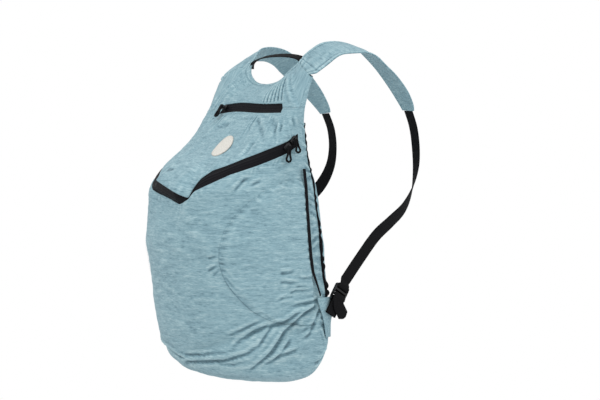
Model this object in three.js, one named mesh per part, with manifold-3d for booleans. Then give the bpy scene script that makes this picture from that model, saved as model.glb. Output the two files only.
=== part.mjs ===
// A light fold-away backpack in its worn shape: a thin-walled bag with a beaked lid and a U-shaped main
// zip, a yoke that runs into two shoulder straps, and webbing that leads under the arms to ladder locks.
// Sizes are in millimetres. X is the wearer's right, Y the way the wearer faces and Z is up. The origin
// lies midway between the two straps, where they cross the wearer's shoulders.
import * as THREE from "three";
import { mergeVertices } from "three/addons/utils/BufferGeometryUtils.js";
import Module from "manifold-3d";

const wasm = await Module();
wasm.setup();

// The bag
const bagWidth = 308;
const bagFront = 180; // greatest depth in front of the side seams
const bagBack = 53; // greatest depth behind the side seams
const bagHeight = 470;
const bagTop = -61; // height of the bag's top edge
const clothWall = 2;
const baseTilt = 11; // how much higher the base lies in front than behind
const seamGap = 0.5; // between panels that meet edge to edge
const restGap = 0.5; // between a piece and what it lies on

// The beak at the lid's lower edge
const beakLift = 11;
const beakTuck = 7; // how far the front below the beak is drawn in
const beakFade = 75;
const beakSkew = 20; // the beak's left corner rides this much higher than its right

// The zips
const mainZipWidth = 16;
const topZipWidth = 14;
const topZipLength = 186;
const zipTapeWall = 1.4;
const zipRecess = 0.4;

// The neck, yoke and shoulder straps
const neckWidth = 128;
const neckDrop = 54; // from the shoulders down to the lowest point of the neck opening
const yokeWall = 2.4;
const shoulderHalf = 110; // from the mid-plane to the middle of a strap at its crest
const strapWidth = 57;
const strapWall = 4;
const strapReach = 197; // how far forward the straps' cloth comes on the chest
const strapDrop = 96; // from the shoulders down to the end of a strap's cloth

// Webbing and its hardware
const webWidth = 21;
const webWall = 1.6;
const haulWidth = 16;
const haulRise = 19; // from the ends of the haul loop to its crown
const haulLean = -6; // how far forward the crown stands of the ends
const lockWidth = 28;
const lockLength = 28;
const lockWall = 4;
const lockBar = 3;
const lockTilt = 58; // degrees above the horizontal
const tailLength = 34;
const anchorReach = 24; // from the ladder lock to the stitched end of its anchor loop
const tailTurn = 62; // degrees that the webbing's tail swings forward

// Pockets, tapes, binding and patch
const pocketWall = 1.6;
const pocketGap = 2.8;
const pocketTapeWidth = 6;
const pocketTapeWall = 1.2;
const bindingStand = 4;
const bindingWall = 2.2;
const patchLength = 56;
const patchWidth = 36;
const patchWall = 1;
const patchTurn = 113; // degrees

// Zip sliders and their cord pulls
const sliderWidth = 9;
const sliderLength = 13;
const sliderWall = 4.6;
const bailWall = 1.6;
const pullCord = 2;
const pullDrop = 24;
const pullEyeRadius = 4.2;
const pullLean = -1;

// Sections of the bag from the middle of its base up to its top edge. level is a share of bagHeight, wide of
// half the width, seam (where the side seam lies) and front of bagFront, back of bagBack; frontSquare and
// backSquare are the exponents of the two half ovals.
const sections = [
  { level: 0.0, wide: 0.0, seam: -0.4, front: 0.0, back: 0.0, frontSquare: 2.2, backSquare: 2.4 },
  { level: 0.006, wide: 0.54, seam: -0.33, front: 0.5, back: 0.42, frontSquare: 2.3, backSquare: 2.6 },
  { level: 0.025, wide: 0.79, seam: -0.25, front: 0.68, back: 0.54, frontSquare: 2.4, backSquare: 3.0 },
  { level: 0.058, wide: 0.92, seam: -0.2, front: 0.805, back: 0.56, frontSquare: 2.4, backSquare: 3.4 },
  { level: 0.111, wide: 0.98, seam: -0.165, front: 0.88, back: 0.62, frontSquare: 2.4, backSquare: 3.8 },
  { level: 0.181, wide: 1.0, seam: -0.16, front: 0.925, back: 0.72, frontSquare: 2.4, backSquare: 4.0 },
  { level: 0.272, wide: 1.0, seam: -0.19, front: 0.935, back: 0.81, frontSquare: 2.4, backSquare: 4.0 },
  { level: 0.399, wide: 0.987, seam: -0.24, front: 0.935, back: 0.93, frontSquare: 2.4, backSquare: 4.0 },
  { level: 0.479, wide: 0.974, seam: -0.256, front: 0.96, back: 0.96, frontSquare: 2.4, backSquare: 4.0 },
  { level: 0.597, wide: 0.929, seam: -0.256, front: 0.935, back: 0.89, frontSquare: 2.5, backSquare: 4.0 },
  { level: 0.656, wide: 0.896, seam: -0.246, front: 0.9, back: 0.78, frontSquare: 2.9, backSquare: 4.0 },
  { level: 0.728, wide: 0.864, seam: -0.25, front: 0.69, back: 0.58, frontSquare: 3.6, backSquare: 4.0 },
  { level: 0.794, wide: 0.851, seam: -0.268, front: 0.4, back: 0.5, frontSquare: 4.0, backSquare: 4.0 },
  { level: 0.856, wide: 0.83, seam: -0.264, front: 0.225, back: 0.41, frontSquare: 4.0, backSquare: 4.0 },
  { level: 0.925, wide: 0.82, seam: -0.24, front: 0.075, back: 0.29, frontSquare: 4.0, backSquare: 4.0 },
  { level: 1.0, wide: 0.825, seam: -0.124, front: 0.03, back: 0.1, frontSquare: 4.0, backSquare: 4.0 },
];
const hemRow = sections.length - 2; // the section at the top zip, where the lid meets the yoke
const baseRow = 4; // the section up to which the base wraps all round

// Girth runs from 0 at the middle of the front to 1 at the middle of the back, 0.5 at the side seam
const zipEndGirth = 0.475;
const mouthGirth = 0.495;
const backSeamGirth = 0.56;

// The main zip's middle line: how far round the front it is, and its level
const zipLine = [
  { girth: 0.0, level: 0.61 },
  { girth: 0.09, level: 0.61 },
  { girth: 0.107, level: 0.648 },
  { girth: 0.13, level: 0.678 },
  { girth: 0.18, level: 0.708 },
  { girth: 0.24, level: 0.733 },
  { girth: 0.34, level: 0.761 },
  { girth: 0.43, level: 0.796 },
  { girth: 0.475, level: 0.83 },
];

// Main folds and dents of the filled cloth. Girths are signed, levels are shares of the height, width and
// depth are shares of bagWidth; a negative depth is a dent.
const folds = [
  { fromGirth: 0.5, fromLevel: 0.303, toGirth: 0.36, toLevel: 0.321, width: 0.045, depth: -0.012 },
  { fromGirth: 0.5, fromLevel: 0.28, toGirth: 0.38, toLevel: 0.264, width: 0.04, depth: -0.016 },
  { fromGirth: 0.5, fromLevel: 0.26, toGirth: 0.35, toLevel: 0.145, width: 0.05, depth: -0.02 },
  { fromGirth: 0.36, fromLevel: 0.221, toGirth: 0.0, toLevel: 0.058, width: 0.05, depth: -0.02 },
  { fromGirth: 0.48, fromLevel: 0.102, toGirth: 0.26, toLevel: 0.061, width: 0.045, depth: -0.014 },
  { fromGirth: 0.32, fromLevel: 0.712, toGirth: 0.25, toLevel: 0.654, width: 0.05, depth: -0.014 },
  { fromGirth: -0.5, fromLevel: 0.28, toGirth: -0.36, toLevel: 0.25, width: 0.045, depth: -0.016 },
  { fromGirth: -0.49, fromLevel: 0.25, toGirth: -0.3, toLevel: 0.11, width: 0.05, depth: -0.02 },
  { fromGirth: -0.4, fromLevel: 0.09, toGirth: -0.1, toLevel: 0.06, width: 0.045, depth: -0.014 },
  { fromGirth: -0.34, fromLevel: 0.7, toGirth: -0.26, toLevel: 0.64, width: 0.05, depth: -0.014 },
];

// How the bag's top edge rises to the shoulders and leans to the wearer above the top zip: across is a share
// of half of bagWidth, rise and lean of neckDrop
const crown = [
  { across: 0.0, rise: 0.0, lean: 0.0 },
  { across: 0.227, rise: 0.08, lean: 0.06 },
  { across: 0.325, rise: 0.24, lean: 0.13 },
  { across: 0.403, rise: 0.44, lean: 0.26 },
  { across: 0.617, rise: 0.42, lean: 0.18 },
  { across: 0.825, rise: 0.27, lean: 0.0 },
];

// The neck opening's edge from its lowest point to the strap seam: across is a share of half of neckWidth,
// forward and down of neckDrop
const neckEdge = [
  { across: 0.0, forward: -0.296, down: 1.0 },
  { across: 0.3, forward: -0.285, down: 0.965 },
  { across: 0.56, forward: -0.26, down: 0.861 },
  { across: 0.789, forward: -0.204, down: 0.648 },
  { across: 0.945, forward: -0.08, down: 0.45 },
  { across: 1.0, forward: 0.0, down: 0.352 },
];

// Middle of a shoulder strap: across is a share of shoulderHalf, forward of strapReach, up of strapDrop, wide
// of strapWidth; slope is the fall in degrees from its inner to its outer edge, and skew how far that edge
// trails behind
const strapPath = [
  { across: 0.864, forward: -0.056, up: -0.318, wide: 1.18, slope: 20, skew: 20 },
  { across: 0.89, forward: 0.008, up: -0.2, wide: 1.14, slope: 18, skew: 12 },
  { across: 0.932, forward: 0.094, up: -0.073, wide: 1.05, slope: 17.5, skew: 3 },
  { across: 0.97, forward: 0.173, up: 0.005, wide: 1.01, slope: 21, skew: 0 },
  { across: 1.002, forward: 0.289, up: 0.038, wide: 1.0, slope: 22, skew: 0 },
  { across: 1.027, forward: 0.416, up: 0.031, wide: 1.0, slope: 18.5, skew: 0 },
  { across: 1.036, forward: 0.518, up: -0.036, wide: 1.0, slope: 17.5, skew: 0 },
  { across: 1.045, forward: 0.607, up: -0.167, wide: 1.0, slope: 18, skew: 0 },
  { across: 1.05, forward: 0.736, up: -0.375, wide: 0.96, slope: 15, skew: 0 },
  { across: 1.036, forward: 0.873, up: -0.646, wide: 0.84, slope: 10, skew: 0 },
  { across: 1.018, forward: 0.964, up: -0.875, wide: 0.66, slope: 6, skew: 0 },
  { across: 1.009, forward: 1.0, up: -1.0, wide: 0.5, slope: 4, skew: 0 },
];

// Middle of the webbing from the strap's end under the arm to the ladder lock: across is a share of half of
// bagWidth, forward of strapReach, up of bagHeight; turn is its twist from lying on the chest (0) to lying
// on the wearer's side (90)
const webPath = [
  { across: 0.721, forward: 1.004, up: -0.206, turn: 0 },
  { across: 0.716, forward: 1.066, up: -0.266, turn: 1 },
  { across: 0.722, forward: 1.091, up: -0.34, turn: 4 },
  { across: 0.75, forward: 1.071, up: -0.415, turn: 14 },
  { across: 0.81, forward: 0.985, up: -0.489, turn: 35 },
  { across: 0.89, forward: 0.832, up: -0.551, turn: 58 },
  { across: 0.962, forward: 0.635, up: -0.596, turn: 78 },
  { across: 1.005, forward: 0.442, up: -0.643, turn: 88 },
  { across: 1.022, forward: 0.25, up: -0.721, turn: 90 },
  { across: 1.028, forward: 0.1, up: -0.789, turn: 90 },
];
const lockAt = { across: 1.034, forward: 0.038, up: -0.83 };
const wingRoot = { girth: 0.505, topLevel: 0.29, lowLevel: 0.16, lowGirth: 0.53, lastGirth: 0.558 };
const wingTip = { across: 0.99, forward: -0.02, up: -0.836 };
const wingFoot = { across: 0.996, forward: -0.07, up: -0.965 };

// The pocket's curved seam: girth at each level, from its lower end to its upper end
const pocketSeam = [
  { level: 0.2, girth: 0.44 },
  { level: 0.217, girth: 0.35 },
  { level: 0.24, girth: 0.31 },
  { level: 0.267, girth: 0.27 },
  { level: 0.313, girth: 0.235 },
  { level: 0.359, girth: 0.215 },
  { level: 0.415, girth: 0.2 },
  { level: 0.497, girth: 0.215 },
  { level: 0.57, girth: 0.255 },
  { level: 0.64, girth: 0.33 },
  { level: 0.69, girth: 0.44 },
];
const patchPlace = { girth: 0.065, level: 0.796 };

// How many cells each stretch of the bag's cloth is divided into
const girthCells = [
  { upTo: 0.09, cells: 4 },
  { upTo: zipEndGirth, cells: 12 },
  { upTo: backSeamGirth, cells: 4 },
  { upTo: 1, cells: 6 },
];
const baseStops = [0, 1, 1.6, 2.3, 3.1, baseRow];
const frontCells = 10;
const zipCells = 2;
const lidCells = 6;
const crownCells = 2;
const pocketColumns = 9;
const arcSamples = 60;

const vec = (x, y, z) => new THREE.Vector3(x, y, z);
const clamp = (x, low, high) => Math.min(Math.max(x, low), high);
const smooth = (x) => {
  const s = clamp(x, 0, 1);
  return s * s * (3 - 2 * s);
};

// A column of a table at a place t counted in rows, on a Catmull-Rom curve
function along(rows, name, t) {
  const i = clamp(Math.floor(t), 0, rows.length - 2);
  const f = clamp(t, 0, rows.length - 1) - i;
  const v = (k) => rows[clamp(k, 0, rows.length - 1)][name];
  const [a, b, c, d] = [v(i - 1), v(i), v(i + 1), v(i + 2)];
  return b + 0.5 * f * (c - a + f * (2 * a - 5 * b + 4 * c - d + f * (3 * (b - c) + d - a)));
}

// The value of one column where another column, which grows, has a given value, on straight stretches
function lookUp(rows, by, name, value) {
  let i = 0;
  while (i < rows.length - 2 && rows[i + 1][by] < value) i += 1;
  const [a, b] = [rows[i], rows[i + 1]];
  const f = clamp((value - a[by]) / (b[by] - a[by]), 0, 1);
  return a[name] + f * (b[name] - a[name]);
}

// The place in rows of the section table at which the bag has a level
function rowOf(level) {
  let low = 0;
  let high = sections.length - 1;
  for (let i = 0; i < 40; i += 1) {
    const middle = (low + high) / 2;
    if (along(sections, "level", middle) < level) low = middle;
    else high = middle;
  }
  return (low + high) / 2;
}

// The point at a share of the arc of a quarter oval that runs from (0, depth) to (half, 0)
function ovalPoint(half, depth, square, share) {
  const xs = [0];
  const ys = [depth];
  const run = [0];
  for (let i = 1; i <= arcSamples; i += 1) {
    const angle = ((i / arcSamples) * Math.PI) / 2;
    xs.push(half * Math.sin(angle) ** (2 / square));
    ys.push(i === arcSamples ? 0 : depth * Math.cos(angle) ** (2 / square));
    run.push(run[i - 1] + Math.hypot(xs[i] - xs[i - 1], ys[i] - ys[i - 1]));
  }
  const goal = share * run[arcSamples];
  let i = 1;
  while (i < arcSamples && run[i] < goal) i += 1;
  const f = run[i] > run[i - 1] ? (goal - run[i - 1]) / (run[i] - run[i - 1]) : 0;
  return [xs[i - 1] + f * (xs[i] - xs[i - 1]), ys[i - 1] + f * (ys[i] - ys[i - 1])];
}

// The plain surface of the filled bag, before its folds
function plainPoint(girth, t) {
  const side = Math.sign(girth) || 1;
  const g = Math.abs(girth);
  const at = (name) => along(sections, name, t);
  const half = (at("wide") * bagWidth) / 2;
  const isFront = g <= 0.5;
  const depth = isFront ? at("front") * bagFront : at("back") * bagBack;
  const square = isFront ? at("frontSquare") : at("backSquare");
  const [x, y] = ovalPoint(Math.max(half, 0), Math.max(depth, 0), square, isFront ? 2 * g : 2 - 2 * g);
  const z = bagTop + (at("level") - 1) * bagHeight;
  const raise = neckDrop * smooth(t - hemRow);
  const share = (2 * x) / bagWidth;
  const lean = lookUp(crown, "across", "lean", share) * raise;
  const rise = lookUp(crown, "across", "rise", share) * raise;
  const tilt = isFront ? ((baseTilt * y) / bagFront) * (1 - smooth(at("level") / 0.2)) : 0;
  return vec(side * x, at("seam") * bagFront + (isFront ? -y : y) + lean, z + rise + tilt);
}

// How far the folds lift or sink the cloth
function foldLift(girth, t) {
  const level = along(sections, "level", t);
  const aroundMm = bagWidth * 1.55;
  let lift = 0;
  for (const f of folds) {
    const dx = (f.toGirth - f.fromGirth) * aroundMm;
    const dy = (f.toLevel - f.fromLevel) * bagHeight;
    const px = (girth - f.fromGirth) * aroundMm;
    const py = (level - f.fromLevel) * bagHeight;
    const share = clamp((px * dx + py * dy) / (dx * dx + dy * dy), 0, 1);
    const off = Math.hypot(px - share * dx, py - share * dy) / (f.width * bagWidth);
    lift += f.depth * bagWidth * Math.exp(-off * off * 2) * Math.sin(Math.PI * (0.15 + 0.75 * share));
  }
  return lift;
}

function outward(girth, t) {
  if (t < 0.02) return vec(0, 0, -1);
  const dg = 0.004;
  const dt = 0.01;
  const around = plainPoint(girth + dg, t).sub(plainPoint(girth - dg, t));
  const up = plainPoint(girth, t + dt).sub(plainPoint(girth, t - dt));
  return around.cross(up).normalize();
}

// The beak lifts the lid above the main zip and tucks the front below it
function beakShift(girth, t) {
  const beakGirth = zipLine[1].girth;
  const near = 1 - smooth((Math.abs(girth) - beakGirth) / (0.9 * beakGirth));
  const above = (along(sections, "level", t) - zipLevel(girth)) * bagHeight;
  if (above > 0) return beakLift * near * (1 - smooth(above / beakFade));
  return -beakTuck * near * (1 - smooth(-above / beakFade));
}

// A point on the cloth, raised above its outer face by lift
function clothPoint(girth, t, lift = 0) {
  const shift = t < hemRow ? foldLift(girth, t) + beakShift(girth, t) : 0;
  return plainPoint(girth, t).addScaledVector(outward(girth, t), shift * smooth((hemRow - t) / 1.5) + lift);
}

// Level of the main zip's middle line, skewed so that the beak's left corner rides higher
function zipLevel(girth) {
  const g = Math.min(Math.abs(girth), zipEndGirth);
  const beakGirth = zipLine[1].girth;
  const skew = smooth(0.5 - girth / (2 * beakGirth)) * (1 - smooth((g - beakGirth) / (1.5 * beakGirth)));
  return lookUp(zipLine, "girth", "level", g) + (skew * beakSkew) / bagHeight;
}

// Half of a zip's width, as a step in rows at a place on the cloth, measured square to the zip's line
function zipStep(girth, t, width, isMain) {
  const d = 0.01;
  const upMm = plainPoint(girth, t + d).distanceTo(plainPoint(girth, t - d)) / (2 * d);
  const aroundMm = plainPoint(girth + d, t).distanceTo(plainPoint(girth - d, t)) / (2 * d);
  const climb = isMain ? (rowOf(zipLevel(girth + d)) - rowOf(zipLevel(girth - d))) / (2 * d) : 0;
  return ((width / 2) * Math.hypot(1, clamp((climb * upMm) / aroundMm, -1, 1))) / upMm;
}

// The grid that all panels of the bag share: signed girths round the bag, and rows from base to top
function girthStops() {
  const stops = [0];
  let from = 0;
  for (const { upTo, cells } of girthCells) {
    for (let i = 1; i <= cells; i += 1) stops.push(from + ((upTo - from) * i) / cells);
    from = upTo;
  }
  const left = stops.slice(1, -1).reverse().map((g) => -g);
  return [...left, ...stops];
}

const girths = girthStops();
const columns = girths.length;
const zipLow = baseStops.length - 1 + frontCells;
const zipHigh = zipLow + zipCells;
const hemLine = zipHigh + lidCells + 1;
const topLine = hemLine + crownCells;

function rowStops(girth) {
  const zipRow = rowOf(zipLevel(girth));
  const step = zipStep(girth, zipRow, mainZipWidth, Math.abs(girth) < zipEndGirth);
  const hemStep = zipStep(girth, hemRow, topZipWidth, false);
  const stops = [...baseStops];
  const fill = (to, cells) => {
    const from = stops[stops.length - 1];
    for (let i = 1; i <= cells; i += 1) stops.push(from + ((to - from) * i) / cells);
  };
  fill(zipRow - step, frontCells);
  fill(zipRow + step, zipCells);
  fill(hemRow - hemStep, lidCells);
  fill(hemRow, 1);
  fill(sections.length - 1, crownCells);
  return stops;
}

const rowsAt = girths.map(rowStops);
const clothGrid = girths.map((g, i) => rowsAt[i].map((t) => clothPoint(g, t)));
const normalGrid = girths.map((g, i) => rowsAt[i].map((t) => outward(g, t)));

// A point on the flat-faced cloth that the shared grid makes, raised by lift
function facetPoint(girth, t, lift = 0) {
  const k = clamp(girths.findIndex((g) => g > girth) - 1, 0, columns - 2);
  const f = clamp((girth - girths[k]) / (girths[k + 1] - girths[k]), 0, 1);
  const onColumn = (i) => {
    const rows = rowsAt[i];
    const j = clamp(rows.findIndex((r) => r > t) - 1, 0, rows.length - 2);
    const share = clamp((t - rows[j]) / (rows[j + 1] - rows[j]), 0, 1);
    const raised = (m) => clothGrid[i][m].clone().addScaledVector(normalGrid[i][m], lift);
    return raised(j).lerp(raised(j + 1), share);
  };
  return onColumn(k).lerp(onColumn(k + 1), f);
}

// A closed wall between two grids of points. on says which cells there are, and each free edge is drawn in
// by inset, which leaves the gap to the next panel.
function wall(across, up, front, rear, { on = () => true, closed = false, inset = 0 } = {}) {
  const cells = closed ? across : across - 1;
  const wrap = (i) => (closed ? (i + across) % across : i);
  const has = (i, j) => {
    const k = wrap(i);
    return k >= 0 && k < cells && j >= 0 && j < up - 1 && on(k, j);
  };
  const centre = (grid, i, j) => {
    const at = (a, b) => grid(wrap(i + a), j + b);
    return at(0, 0).clone().add(at(1, 0)).add(at(0, 1)).add(at(1, 1)).multiplyScalar(0.25);
  };
  const drawnIn = (grid) => (i, j) => {
    const round = [[-1, -1], [0, -1], [-1, 0], [0, 0]];
    const held = round.filter(([a, b]) => has(i + a, j + b));
    const p = grid(wrap(i), j).clone();
    if (!inset || held.length === 4) return p;
    const pull = vec(0, 0, 0);
    for (const [a, b] of held) pull.add(centre(grid, i + a, j + b).sub(p).normalize());
    if (pull.length() < 1e-6) return p;
    return p.addScaledVector(pull.normalize(), held.length === 2 ? inset : inset * Math.SQRT2);
  };
  const outer = drawnIn(front);
  const inner = drawnIn(rear);
  const corners = [];
  const quad = (a, b, c, d) => corners.push(a, b, c, a, c, d);
  for (let i = 0; i < cells; i += 1) {
    for (let j = 0; j < up - 1; j += 1) {
      if (!has(i, j)) continue;
      quad(outer(i, j), outer(i + 1, j), outer(i + 1, j + 1), outer(i, j + 1));
      quad(inner(i, j), inner(i, j + 1), inner(i + 1, j + 1), inner(i + 1, j));
      const edges = [
        [0, -1, 0, 0, 1, 0],
        [1, 0, 1, 0, 1, 1],
        [0, 1, 1, 1, 0, 1],
        [-1, 0, 0, 1, 0, 0],
      ];
      for (const [di, dj, ai, aj, bi, bj] of edges) {
        if (has(i + di, j + dj)) continue;
        const [a, b] = [[i + ai, j + aj], [i + bi, j + bj]];
        quad(outer(...b), outer(...a), inner(...a), inner(...b));
      }
    }
  }
  return closedGeometry(corners);
}

// Drops the empty triangles of a geometry whose shared corners have been joined
function dropEmpty(merged) {
  const kept = [];
  const index = merged.index.array;
  for (let i = 0; i < index.length; i += 3) {
    const [a, b, c] = [index[i], index[i + 1], index[i + 2]];
    if (a !== b && b !== c && a !== c) kept.push(a, b, c);
  }
  merged.setIndex(kept);
  return merged;
}

// A geometry from loose triangle corners
function closedGeometry(corners) {
  const merged = dropEmpty(mergeVertices(new THREE.BufferGeometry().setFromPoints(corners), 1e-3));
  merged.computeVertexNormals();
  return merged;
}

function toSolid(geometry) {
  const g = geometry.clone();
  for (const name of ["normal", "uv"]) g.deleteAttribute(name);
  const merged = dropEmpty(mergeVertices(g, 1e-4));
  const vertProperties = merged.attributes.position.array;
  const triVerts = new Uint32Array(merged.index.array);
  return new wasm.Manifold(new wasm.Mesh({ numProp: 3, vertProperties, triVerts }));
}

function toGeometry(solid) {
  const mesh = solid.getMesh();
  const geometry = new THREE.BufferGeometry();
  geometry.setAttribute("position", new THREE.BufferAttribute(new Float32Array(mesh.vertProperties), 3));
  geometry.setIndex(new THREE.BufferAttribute(new Uint32Array(mesh.triVerts), 1));
  geometry.computeVertexNormals();
  return geometry;
}

// A flat band swept through stations, each with its middle, across and outward directions and its width
function band(stations, thickness, cells = 1) {
  const place = (s, share, depth) =>
    s.middle
      .clone()
      .addScaledVector(s.across, (share - 0.5) * s.width)
      .addScaledVector(s.outward, depth);
  const front = (i, j) => place(stations[j], i / cells, thickness / 2);
  const rear = (i, j) => place(stations[j], i / cells, -thickness / 2);
  return wall(cells + 1, stations.length, front, rear);
}

const mirrored = (p) => vec(-p.x, p.y, p.z);

// The same geometry on the wearer's left
function mirrorGeometry(geometry) {
  const g = geometry.clone();
  g.scale(-1, 1, 1);
  const index = g.index.array;
  for (let i = 0; i < index.length; i += 3) [index[i + 1], index[i + 2]] = [index[i + 2], index[i + 1]];
  g.computeVertexNormals();
  return g;
}

const ink = 0x17171c;
const finishes = {
  cloth: { color: 0x8fb9c4, roughness: 0.72, metalness: 0 },
  webbing: { color: ink, roughness: 0.85, metalness: 0 },
  zip: { color: 0x1a181d, roughness: 0.8, metalness: 0 },
  plastic: { color: 0x141417, roughness: 0.45, metalness: 0 },
  patch: { color: 0xe9e6dd, roughness: 0.8, metalness: 0 },
};

const backpack = new THREE.Group();

function add(name, geometry, finish) {
  const mesh = new THREE.Mesh(geometry, new THREE.MeshStandardMaterial(finishes[finish]));
  mesh.name = name;
  backpack.add(mesh);
  return mesh;
}

const sides = [["right", 1], ["left", -1]];

// Adds a piece on the wearer's right and its mirror image on the left
function addPair(name, geometry, finish) {
  add(`${name}_right`, geometry, finish);
  add(`${name}_left`, mirrorGeometry(geometry), finish);
}

// Panels cut from the shared grid
const cellGirth = (i) => {
  const next = i + 1 < columns ? girths[i + 1] : 2 + girths[0];
  return Math.abs((girths[i] + next) / 2 > 1 ? 2 - (girths[i] + next) / 2 : (girths[i] + next) / 2);
};

function panel(on, depth = 0, thickness = clothWall) {
  const at = (lift) => (i, j) => clothGrid[i][j].clone().addScaledVector(normalGrid[i][j], lift);
  return wall(columns, topLine + 1, at(-depth), at(-depth - thickness), {
    on: (i, j) => on(cellGirth(i), j),
    closed: true,
    inset: seamGap / 2,
  });
}

const halfTopZip = topZipLength / 2;
const offTopZip = (g) => Math.abs(clothPoint(g, hemRow).x - halfTopZip);
const topZipGirth = girths
  .filter((g) => g > 0 && g <= zipEndGirth)
  .reduce((a, b) => (offTopZip(b) < offTopZip(a) ? b : a));

const isTopZip = (g, j) => j === hemLine - 1 && g < topZipGirth;
add(
  "body_panel",
  panel((g, j) => j < baseStops.length - 1 || (g < backSeamGirth && (j < zipLow || g > zipEndGirth))),
  "cloth",
);
add("back_panel", panel((g, j) => j >= baseStops.length - 1 && g > backSeamGirth), "cloth");
add(
  "lid_panel",
  panel((g, j) => g < zipEndGirth && j >= zipHigh && j < hemLine && !isTopZip(g, j)),
  "cloth",
);
add(
  "main_zip_tape",
  panel((g, j) => g < zipEndGirth && j >= zipLow && j < zipHigh, zipRecess, zipTapeWall),
  "zip",
);

// The yoke: its columns follow the lid's across the front, then climb the bag's sides to the strap seams
const hemColumns = girths.filter((g) => Math.abs(g) <= zipEndGirth + 1e-6);
const sideColumn = girths.indexOf(hemColumns[hemColumns.length - 1]);
const yokeRows = 6;
const yokeColumns = hemColumns.length + 2 * crownCells;

function edgePoint(table, t, acrossMm, alongMm) {
  const at = (name) => along(table, name, t);
  return vec(at("across") * acrossMm, at("forward") * alongMm, -at("down") * alongMm);
}

function yokeOuter(i) {
  const k = clamp(i - crownCells, 0, hemColumns.length - 1);
  const climb = Math.max(crownCells - i, i - crownCells - k, 0);
  return clothPoint(hemColumns[k], rowsAt[sideColumn][hemLine + climb]);
}

function yokeInner(i) {
  const share = (2 * i) / (yokeColumns - 1) - 1;
  const p = edgePoint(neckEdge, Math.abs(share) ** 1.15 * (neckEdge.length - 1), neckWidth / 2, neckDrop);
  return share < 0 ? mirrored(p) : p;
}

function yokePoint(i, j) {
  const [low, high] = [yokeOuter(i), yokeInner(i)];
  const reach = low.distanceTo(high);
  const first = Math.min(topZipWidth / 2 / reach, 0.3);
  const share = j === 0 ? 0 : first + ((1 - first) * (j - 1)) / (yokeRows - 1);
  const bulge = Math.sin(Math.PI * share) * reach * 0.09;
  return low.lerp(high, share).add(vec(0, -bulge, bulge * 0.6));
}

function yokeNormal(i, j) {
  if (j === 0) {
    const k = clamp(i - crownCells, 0, hemColumns.length - 1);
    const climb = Math.max(crownCells - i, i - crownCells - k, 0);
    return outward(hemColumns[k], rowsAt[sideColumn][hemLine + climb]);
  }
  const clampI = (k) => clamp(k, 0, yokeColumns - 1);
  const around = yokePoint(clampI(i + 1), j).sub(yokePoint(clampI(i - 1), j));
  const up = yokePoint(i, Math.min(j + 1, yokeRows)).sub(yokePoint(i, Math.max(j - 1, 0)));
  return around.cross(up).normalize();
}

function yokeWallAt(on, depth, thickness) {
  const at = (lift) => (i, j) => yokePoint(i, j).addScaledVector(yokeNormal(i, j), lift);
  return wall(yokeColumns, yokeRows + 1, at(-depth), at(-depth - thickness), { on, inset: seamGap });
}

const isYokeZip = (i, j) => {
  const k = i - crownCells;
  if (j > 0 || k < 0 || k >= hemColumns.length - 1) return false;
  return Math.abs((hemColumns[k] + hemColumns[k + 1]) / 2) < topZipGirth;
};
add("yoke", yokeWallAt((i, j) => !isYokeZip(i, j), 0, yokeWall), "cloth");

// The top zip's tape spans the last row of the lid's grid and the first row of the yoke's
function topZip() {
  const inZip = hemColumns.filter((g) => Math.abs(g) <= topZipGirth + 1e-6);
  const at = (lift) => (i, j) => {
    const g = inZip[i];
    const k = girths.indexOf(g);
    const column = hemColumns.indexOf(g) + crownCells;
    if (j === 0) return clothGrid[k][hemLine - 1].clone().addScaledVector(normalGrid[k][hemLine - 1], lift);
    return yokePoint(column, j - 1).addScaledVector(yokeNormal(column, j - 1), lift);
  };
  const options = { inset: seamGap / 2 };
  return wall(inZip.length, 3, at(-zipRecess), at(-zipRecess - zipTapeWall), options);
}
add("top_zip_tape", topZip(), "zip");

// Stations of a band through the rows of a table
function stationsOf(table, steps, make) {
  const count = table.length - 1;
  return Array.from({ length: steps + 1 }, (_, i) => make((i / steps) * count));
}

function strapMiddle(t) {
  const at = (name) => along(strapPath, name, t);
  return vec(at("across") * shoulderHalf, at("forward") * strapReach, at("up") * strapDrop);
}

function strapStation(t) {
  const last = strapPath.length - 1;
  const way = strapMiddle(Math.min(t + 0.05, last)).sub(strapMiddle(Math.max(t - 0.05, 0))).normalize();
  const slope = THREE.MathUtils.degToRad(along(strapPath, "slope", t));
  const skew = THREE.MathUtils.degToRad(along(strapPath, "skew", t));
  const across = vec(Math.cos(slope) * Math.cos(skew), -Math.sin(skew), -Math.sin(slope)).normalize();
  const middle = strapMiddle(t);
  const width = along(strapPath, "wide", t) * strapWidth;
  return { middle, across, outward: across.clone().cross(way).normalize(), width };
}

const strapStart = 1.2 / strapMiddle(0).distanceTo(strapMiddle(1));
const strapStations = stationsOf(strapPath, 26, (t) => strapStation(Math.max(t, strapStart)));
addPair("shoulder_strap", band(strapStations, strapWall, 3), "cloth");

// The webbing under the arm: it twists from the chest on to the wearer's side, then threads the ladder lock
function webMiddle(t) {
  const at = (name) => along(webPath, name, t);
  return vec((at("across") * bagWidth) / 2, at("forward") * strapReach, at("up") * bagHeight);
}

function webStation(t) {
  const last = webPath.length - 1;
  const way = webMiddle(Math.min(t + 0.05, last)).sub(webMiddle(Math.max(t - 0.05, 0))).normalize();
  const turn = THREE.MathUtils.degToRad(along(webPath, "turn", t));
  const face = vec(Math.sin(turn), Math.cos(turn), 0);
  const across = way.clone().cross(face).normalize();
  return { middle: webMiddle(t), across, outward: across.clone().cross(way).normalize(), width: webWidth };
}

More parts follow.
